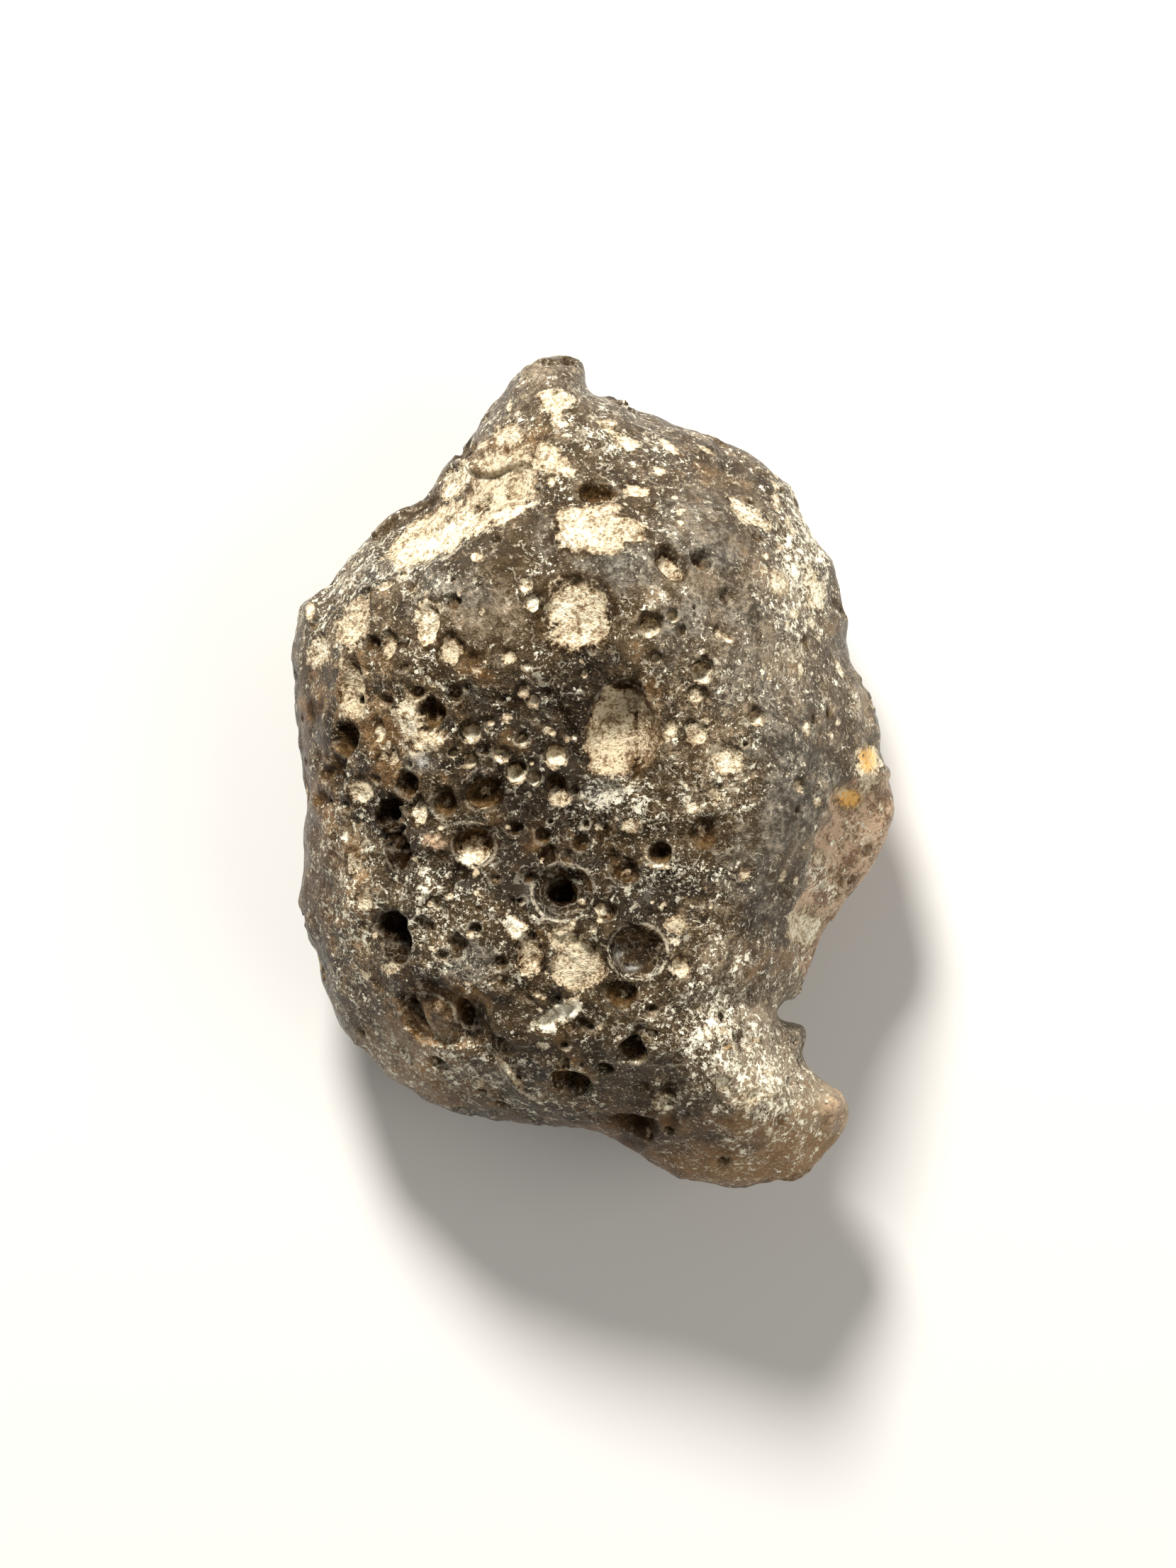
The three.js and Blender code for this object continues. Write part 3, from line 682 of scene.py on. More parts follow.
def strewBubbles():
    places = chancePlaces()
    crownward = places[:, 2] > lump["widestHeight"] + 1
    share = formRise(crowds, places[:, 0], places[:, 1])
    kept = chance.random(len(places)) < np.clip(share, strewn["leastCrowd"], 1)
    for name, chosen in (("crown", crownward & kept), ("round", ~crownward & (places[:, 2] > 0.6))):
        count, smallest, largest = strewn[name]
        for place in places[chosen][:count]:
            size = smallest + (largest - smallest) * chance.random() ** strewn["smallOnes"]
            stretch = chance.uniform(*strewn["stretch"])
            kind = bubbleKinds["dusty" if chance.random() < strewn["dusty"] else "open"]
            burstBubble(place, outwardAt(place), size, size * stretch, chance.uniform(0, 180),
                        size * chance.uniform(*strewn["depth"]), {**kind, "rim": 0.01, "lip": 0.08})


strewScallops()
strewBubbles()
field = smoothMax(field, lump["restHeight"] * (1 + gridNoise(0.5, 90)) - gridZ, 0.05)
print("small bubbles", len(bubbleLog))


# a grid square with glass at two opposite corners alone would make four faces meet at one edge,
# so it is filled
def fillSquares(values):
    found = True
    while found:
        found = False
        for one, two in ((0, 1), (1, 2), (0, 2)):
            square = []
            for a, b in ((0, 0), (1, 1), (0, 1), (1, 0)):
                cut = [slice(None)] * 3
                cut[one] = slice(a, None if a else -1)
                cut[two] = slice(b, None if b else -1)
                square.append(values[tuple(cut)])
            low, high, left, right = (corner < 0 for corner in square)
            crossed = (low == high) & (left == right) & (low != left)
            for corner in square:
                corner[crossed] = np.minimum(corner[crossed], -0.01)
            found |= bool(crossed.any())


def netSkin(values):
    inside = values < 0
    corners = [(a, b, c) for a in (0, 1) for b in (0, 1) for c in (0, 1)]
    shape = tuple(s - 1 for s in values.shape)

    def corner(array, a, b, c):
        return array[a:a + shape[0], b:b + shape[1], c:c + shape[2]]

    filled = sum(corner(inside, *k).astype(np.int8) for k in corners)
    cells = np.argwhere((filled > 0) & (filled < 8))
    number = np.full(shape, -1, np.int32)
    number[tuple(cells.T)] = np.arange(len(cells))
    level = {k: values[tuple((cells + k).T)] for k in corners}
    total = np.zeros((len(cells), 3))
    count = np.zeros(len(cells))
    for first in corners:
        for axis in range(3):
            if first[axis]:
                continue
            second = tuple(1 if n == axis else first[n] for n in range(3))
            crossed = (level[first] < 0) != (level[second] < 0)
            t = level[first][crossed] / (level[first][crossed] - level[second][crossed])
            spot = np.tile(np.array(first, float), (len(t), 1))
            spot[:, axis] = t
            total[crossed] += spot
            count[crossed] += 1
    places = np.array(lump["low"]) + (cells + total / count[:, None]) * lump["gridStep"]
    quads = []
    for axis in range(3):
        one, two = (axis + 1) % 3, (axis + 2) % 3
        ahead = tuple(slice(1, None) if n == axis else slice(1, -1) for n in range(3))
        here = tuple(slice(None, -1) if n == axis else slice(1, -1) for n in range(3))
        flips = np.argwhere(inside[here] != inside[ahead])
        flips[:, one] += 1
        flips[:, two] += 1
        back = np.eye(3, dtype=int)
        ring = [flips - back[one] - back[two], flips - back[two], flips, flips - back[one]]
        quad = np.stack([number[tuple(r.T)] for r in ring], axis=1)
        outgoing = inside[tuple(flips.T)]
        quad[~outgoing] = quad[~outgoing][:, ::-1]
        quads.append(quad)
    return places, np.concatenate(quads)


# keeps the stone itself and drops loose crumbs and sealed hollows
def largestBody(places, quads):
    label = np.arange(len(places))
    while True:
        least = label[quads].min(axis=1)
        fresh = label.copy()
        for k in range(4):
            np.minimum.at(fresh, quads[:, k], least)
        fresh = fresh[fresh]
        if np.array_equal(fresh, label):
            break
        label = fresh
    names, counts = np.unique(label, return_counts=True)
    kept = label == names[counts.argmax()]
    renumber = np.cumsum(kept) - 1
    return places[kept], renumber[quads[kept[quads[:, 0]]]]


fillSquares(field)
places, quads = largestBody(*netSkin(field))
print("skin", len(places), "points", len(quads), "faces")

stoneMesh = bpy.data.meshes.new("impact_glass_skin")
stoneMesh.from_pydata((places * mm).tolist(), [], quads.tolist())
stoneMesh.validate()
stone = bpy.data.objects.new("impact_glass_stone", stoneMesh)
bpy.context.collection.objects.link(stone)

trianglesKept = {"lower": 48000, "upper": 142000}


def pointArray():
    flat = np.empty(len(stone.data.vertices) * 3, np.float32)
    stone.data.vertices.foreach_get("co", flat)
    return flat.reshape(-1, 3) / mm


# the lower side is seen less and gets fewer triangles
def thinSide(side):
    mesh = stone.data
    above = pointArray()[:, 2] > lump["widestHeight"]
    chosen = above if side == "upper" else ~above
    mesh.calc_loop_triangles()
    corners = np.empty(len(mesh.loop_triangles) * 3, np.int32)
    mesh.loop_triangles.foreach_get("vertices", corners)
    here = chosen[corners.reshape(-1, 3)].all(axis=1)
    group = stone.vertex_groups.new(name=side)
    group.add(np.nonzero(chosen)[0].tolist(), 1.0, "REPLACE")
    thin = stone.modifiers.new("thin", "DECIMATE")
    thin.vertex_group = side
    thin.vertex_group_factor = 1.0
    thin.ratio = (len(here) - here.sum() + trianglesKept[side]) / len(here)
    bpy.ops.object.modifier_apply(modifier=thin.name)
    stone.vertex_groups.clear()


bpy.context.view_layer.objects.active = stone
stone.select_set(True)
thinSide("lower")
thinSide("upper")
stoneMesh = stone.data
resting = pointArray()
resting[:, 2] = np.maximum(resting[:, 2], 0)
stoneMesh.vertices.foreach_set("co", (resting * mm).ravel())
stoneMesh.polygons.foreach_set("use_smooth", [True] * len(stoneMesh.polygons))
stoneMesh.calc_loop_triangles()
print("thinned to", len(stoneMesh.loop_triangles), "triangles")


# loose dust lying on the skin, colour only: x, y, half width, half length, and then, where they aren't
# 1 and 0, its brightness and turn
smears = [
    (-2.95, 8, 0.32, 0.3, 1.7), (-2.6, 7.2, 0.3, 0.34, 1.6), (-6.3, 10.15, 0.7, 0.5, 1.6, 30),
    (-3.35, 11.15, 1.1, 0.13, 1.2, 27), (-2, 13.4, 0.4, 0.5, 0.7), (-4.2, 13.2, 0.5, 0.4, 0.7),
    (-3.9, 14.4, 0.4, 0.35, 0.8), (-0.9, 10, 0.7, 0.4, 1.2, 10), (10.55, 4.5, 0.14, 0.5, 1.5, 20),
    (11.85, -0.15, 0.35, 0.4, 1.3), (11.9, 0.7, 0.3, 0.3, 0.8), (10.9, -1.05, 0.5, 0.28, 0.5, -15),
    (12.4, -1.45, 0.15, 0.4, 1, 15), (8.6, -4.5, 0.2, 0.2), (7.9, 8.2, 0.4, 0.6, 1.2),
    (0.2, -2.2, 0.25, 0.2, 0.5), (12, 0.9, 0.3, 0.5, 1.5, -20), (0.5, 15.05, 0.4, 0.2),
    (3.1, 14.15, 0.6, 0.2, 1.6, -38), (4.8, 14, 0.5, 0.12, 1, -30), (2.75, 13, 0.28, 0.22),
    (-3.7, 15.85, 0.15, 0.35, 0.9), (-4.8, 14.2, 0.35, 0.15, 1, 45), (-1.15, 12.85, 0.38, 0.28),
    (-6.1, 12.4, 0.6, 0.35, 1, 20), (-1.85, 12.4, 0.2, 0.25), (-4.2, 13.3, 1.1, 0.7, 0.4, 20),
    (-8.4, 9.6, 0.6, 0.3, 1, 20), (-1.4, 15, 0.4, 0.22), (7.8, 11.8, 0.2, 0.5),
    (7.8, 12.5, 0.3, 0.12, 1, -45), (7.4, 10.65, 0.25, 0.25, 0.8), (8.3, 11, 0.15, 0.3),
    (8.5, 10.5, 0.2, 0.2), (7.9, 9.8, 0.2, 0.25), (7.3, 9.3, 0.2, 0.2), (3.6, 11.2, 0.2, 0.2),
    (3.4, 11.8, 0.15, 0.15), (3.6, 10.7, 0.2, 0.15), (-12.3, 7.1, 0.25, 0.45, 0.9), (-7.2, 6, 0.35, 0.4),
    (7.7, 8.3, 0.28, 0.55, 0.9), (7.2, 8.7, 0.2, 0.2), (8.5, 6.85, 0.25, 0.25, 0.9),
    (9.3, 6.5, 0.15, 0.25, 0.9), (8.2, 6.4, 0.15, 0.15), (8.8, 4.5, 0.15, 0.4), (7.2, 4.6, 0.15, 0.15),
    (7.4, 4.1, 0.2, 0.15, 0.8), (6.5, 3.4, 0.2, 0.15, 0.9), (9, 1.9, 0.18, 0.45), (10.4, 2.2, 0.15, 0.2),
    (10.1, 1.7, 0.12, 0.2), (2.85, 5.45, 0.14, 0.14), (-3.8, 2.4, 0.28, 0.25), (-5, 9.2, 0.3, 0.25, 0.9),
    (12.4, 0.5, 0.2, 0.25), (11.8, -0.2, 0.3, 0.5), (-5.4, -3.65, 0.4, 0.25, 1.6),
    (-7.5, -1.6, 0.35, 0.4, 0.9), (-7, -5.5, 0.2, 0.2), (-6.9, -7.4, 0.22, 0.13),
    (-8.7, -8.3, 0.4, 0.25, 0.9), (-9.8, -8.7, 0.2, 0.2, 0.8), (-12, -8.2, 0.13, 0.5, 0.7),
    (-0.6, -5.4, 0.22, 0.18, 0.9), (-1, -9.6, 0.22, 0.2), (3.4, -8.3, 0.3, 0.2),
    (3.4, -6.4, 0.45, 0.5, 0.4), (3.4, -7.1, 0.22, 0.2, 0.9), (1.5, -2.2, 0.4, 0.3, 0.4),
    (4.1, -1.4, 0.3, 0.25, 0.8), (-2.2, -11.55, 0.4, 0.2, 0.9), (2.75, -14, 0.3, 0.4, 0.8),
    (3.15, -14.2, 0.2, 0.15), (8, -4.3, 0.18, 0.35, 1, -20), (9.5, -1.2, 0.22, 0.22),
    (9.6, -3.6, 0.35, 0.4, 0.6), (4.8, -11, 0.16, 0.45, 1, 25), (5.45, -10.9, 0.2, 0.2),
    (6.55, -11.7, 0.17, 0.17), (6.9, -11.35, 0.3, 0.15), (7.4, -12.7, 0.3, 0.25),
    (7.4, -15.2, 0.22, 0.28), (6, -13.9, 0.3, 0.25), (10, -14.1, 0.12, 0.12), (9.5, -14.6, 0.2, 0.15),
    (9.6, -16.2, 0.14, 0.12, 0.9), (12.35, -1.4, 0.12, 0.45, 0.8), (-9.8, -11.4, 0.14, 0.14),
    (-5.4, -8.9, 0.2, 0.12, 0.9), (-3.6, -12.8, 0.18, 1, 0.8, 40), (-4.9, -13.2, 0.25, 0.2, 0.5),
    (2.8, -3.9, 0.5, 0.14, 0.9),
]

# dust caked on by outline, colour only: brightness, corners
cakes = [
    (1.2, [(-8.6, 8.75), (-8.65, 9.8), (-7.9, 10.3), (-7.3, 11), (-6.6, 11.1), (-6.1, 11), (-5.8, 11.5),
           (-5.2, 11.3), (-4.5, 10.9), (-4.3, 10.5), (-5.4, 10.05), (-6.2, 9.45), (-7.3, 9)]),
    (0.9, [(-4.9, 10.9), (-4, 11.6), (-3.4, 12.3), (-2.8, 12.6), (-2.6, 12), (-3.1, 11.2), (-4.2, 10.5)]),
    (1.4, [(-6.75, 12.3), (-6.3, 13.2), (-5.5, 13.6), (-5.15, 13), (-5.5, 12.2), (-6.2, 11.9)]),
    (0.5, [(-5, 12.6), (-4.8, 13.4), (-4.2, 13.95), (-3.2, 13.8), (-2.6, 13.2), (-3.1, 12.5),
           (-4.1, 12.2)]),
    (0.8, [(-4.4, 14.9), (-3.5, 15.1), (-3, 14.5), (-3.4, 13.95), (-4.3, 14.1)]),
    (0.3, [(-2.6, 14), (-2, 14.3), (-1.4, 14), (-1.2, 13.3), (-1.6, 12.8), (-2.3, 13)]),
    (1, [(-2.45, 16.2), (-2, 16.75), (-1.15, 16.5), (-0.75, 16.2), (-1.2, 15.6), (-1.5, 14.9),
         (-1.95, 15.1), (-2, 15.5), (-2.4, 15.8)]),
    (1.2, [(0.2, 15.2), (0.7, 15.15), (0.9, 14.7), (1.4, 14.8), (2, 14.2), (1.5, 13.75), (0.9, 14),
           (0.5, 14.5)]),
    (1.4, [(5.6, 12), (6.1, 12), (6.6, 11.5), (7.1, 11.3), (7.4, 10.9), (6.9, 10.65), (6.4, 10.8),
           (6, 11.2)]),
    (1.7, [(9, 9), (9.5, 9), (9.95, 8), (9.8, 7.2), (9.2, 7.2), (8.95, 8.1)]),
    (0.7, [(-1.75, 10.9), (-1.2, 11.4), (-0.2, 11.5), (0.6, 11.7), (1.3, 11.5), (1, 11), (2, 10.6),
           (2.2, 10.1), (1.3, 9.9), (0.9, 9.3), (0, 9.3), (-1, 9.5), (-1.6, 9.9)]),
    (0.9, [(4.7, 0.9), (4.9, 1.4), (5.3, 1.6), (5.7, 1.2), (6.2, 1), (6.3, 0.4), (5.9, -0.1), (5.4, 0),
           (4.9, 0.4)]),
    (0.9, [(3.8, 1.9), (4.1, 2.4), (4.7, 2.3), (4.9, 1.7), (4.5, 1.3), (3.9, 1.4)]),
    (0.5, [(3.8, 3.4), (4.2, 3.7), (4.6, 3.3), (4.4, 2.8), (3.9, 2.8)]),
    # painted shade: the dust on the upper right of the smooth hollow is darker
    (-1, [(1.2, 3.7), (2, 3.5), (2.6, 2.8), (2.85, 1.8), (2.8, 1), (2.3, 0.5), (1.7, 0.9), (1.7, 2.1),
          (1.3, 3)]),
    (0.4, [(4.4, -0.3), (5.2, -0.4), (5.5, -1), (5, -1.3), (4.6, -1)]),
    (1.2, [(8.2, -5.8), (9.1, -5.7), (9.9, -6.3), (9.7, -7.1), (9, -7.6), (8.3, -7)]),
    (1, [(5.9, -14), (6.2, -13.5), (7, -13.3), (7.7, -13.6), (7.2, -14), (6.5, -14.2)]),
    (1, [(4.9, -12.9), (5.4, -12.7), (5.85, -13), (5.7, -13.4), (5.1, -13.4)]),
    (0.6, [(2.5, -13.6), (3, -13.6), (3.3, -14.2), (2.8, -14.5), (2.5, -14.3)]),
    (1.4, [(-3.95, -6.1), (-3.3, -5.95), (-2.8, -6.3), (-2.9, -6.85), (-3.4, -7.05), (-3.8, -6.8)]),
    (0.3, [(-2, -6.6), (-1.2, -6.4), (-0.4, -7), (0.4, -7.6), (0.4, -8.8), (-0.6, -9.3), (-1.6, -9),
           (-1.9, -8.2), (-1.6, -7.4)]),
    (1.9, [(-2.9, -10.9), (-2.3, -10), (-1.5, -9.55), (-0.7, -9.25), (-0.45, -9.9), (-1.1, -10.45),
           (-1.9, -10.95)]),
    (0.35, [(-5.6, 11.6), (-5.2, 12.6), (-4.4, 13.6), (-3, 14.2), (-2.2, 13.2), (-2.6, 12), (-3.6, 11.4),
            (-4.6, 11.2)]),
    (0.6, [(-9.2, 9.3), (-8.6, 10.3), (-7.3, 11.3), (-6.2, 11.8), (-5.6, 11.6), (-6.4, 10.8),
           (-7.6, 10.2)]),
    (1.3, [(11.1, 0.3), (11.4, 1.1), (11.9, 1.2), (12.4, 0.4), (12.3, -0.6), (11.8, -0.8), (11.3, -0.3)]),
    (0.6, [(10.3, -0.6), (10.9, -0.5), (11.5, -0.9), (11.3, -1.5), (10.5, -1.5)]),
    (0.7, [(-8.7, 2.8), (-8.3, 3.2), (-7.6, 3.1), (-7.35, 2.6), (-7.2, 2), (-6.6, 1.75), (-6.3, 1.3),
           (-6.9, 1), (-7.6, 1.1), (-8.2, 1.6), (-8.6, 2.2)]),
    (0.1, [(-0.1, 2.9), (0.2, 3.4), (0.6, 3.75), (1.05, 3.8), (1.4, 3.4), (1.6, 2.9), (1.75, 2.3),
           (1.9, 1.6), (1.9, 1), (1.6, 0.35), (1.2, -0.05), (0.5, -0.15), (-0.2, 0.25), (-0.6, 0.9),
           (-0.4, 1.6), (-0.25, 2.3)]),
    (0.9, [(-12.5, 5.3), (-12.1, 5.85), (-11.5, 5.7), (-11.3, 5.2), (-11.7, 4.55), (-12.2, 4.6)]),
    (0.1, [(-11.1, 4.9), (-10.4, 4.8), (-9.8, 4.3), (-9.65, 3.3), (-9.85, 2.4), (-10.3, 2.15),
           (-10.85, 2.7), (-11, 3.7)]),
    (0.6, [(-10, 8.05), (-11.05, 6.45), (-11.1, 5.6), (-10.3, 5.3), (-9.65, 6.1), (-9.7, 7.2)]),
    (0.8, [(-7.2, 7.9), (-7.7, 7.05), (-7.5, 6.1), (-7.05, 5.65), (-6.65, 6.2), (-6.7, 7.2)]),
]

# painted highlights: thin light lines along ridges and old bubble walls: how light, corners
ridgeHighlights = [
    (1, [(-8.9, 8.6), (-8, 8.8), (-7.2, 8.95), (-6.4, 9.2), (-5.9, 9.5), (-5.4, 10.05), (-4.1, 10.65),
         (-3.3, 11.1), (-2.4, 11.6)]),
    (1, [(-4.6, -11.6), (-4.2, -12.2), (-3.9, -12.9), (-3.4, -13.4), (-2.6, -13.9)]),
    (0.6, [(-7.9, -9.2), (-7.55, -9.6), (-7.3, -10.3), (-6.9, -10.8), (-6.5, -11.3)]),
    (0.6, [(-7.4, -9.3), (-6.7, -9.4), (-6.1, -9.8), (-5.9, -10.5), (-6.2, -11.3)]),
    (0.5, [(-5, -9.8), (-5.1, -10.5), (-5.4, -11.2)]),
    (0.9, [(12.25, -2.6), (11.85, -2.65), (11.6, -2.95), (11.65, -3.35)]),
    (0.7, [(10.4, 4.9), (10.76, 4.1), (11.3, 3.2), (11.5, 2), (11.6, 1.2)]),
    (0.6, [(-3.9, -1), (-3.3, -0.5)]),
    (0.5, [(-6.3, -2.2), (-5.6, -2), (-4.8, -2.1), (-4.2, -2.6)]),
    (0.6, [(-0.35, 1.7), (-0.25, 2.6), (0.05, 3.3), (0.5, 3.8), (1.05, 4), (1.7, 3.75), (2.3, 3.3)]),
    (0.8, [(-8.3, 1.4), (-7.8, 0.9), (-7.2, 0.9), (-6.6, 1.2), (-6.2, 1.7)]),
    (0.6, [(-9.55, -6.7), (-9.2, -5.95), (-8.6, -5.7), (-8, -6.1), (-7.85, -6.8), (-7.75, -7.5)]),
]

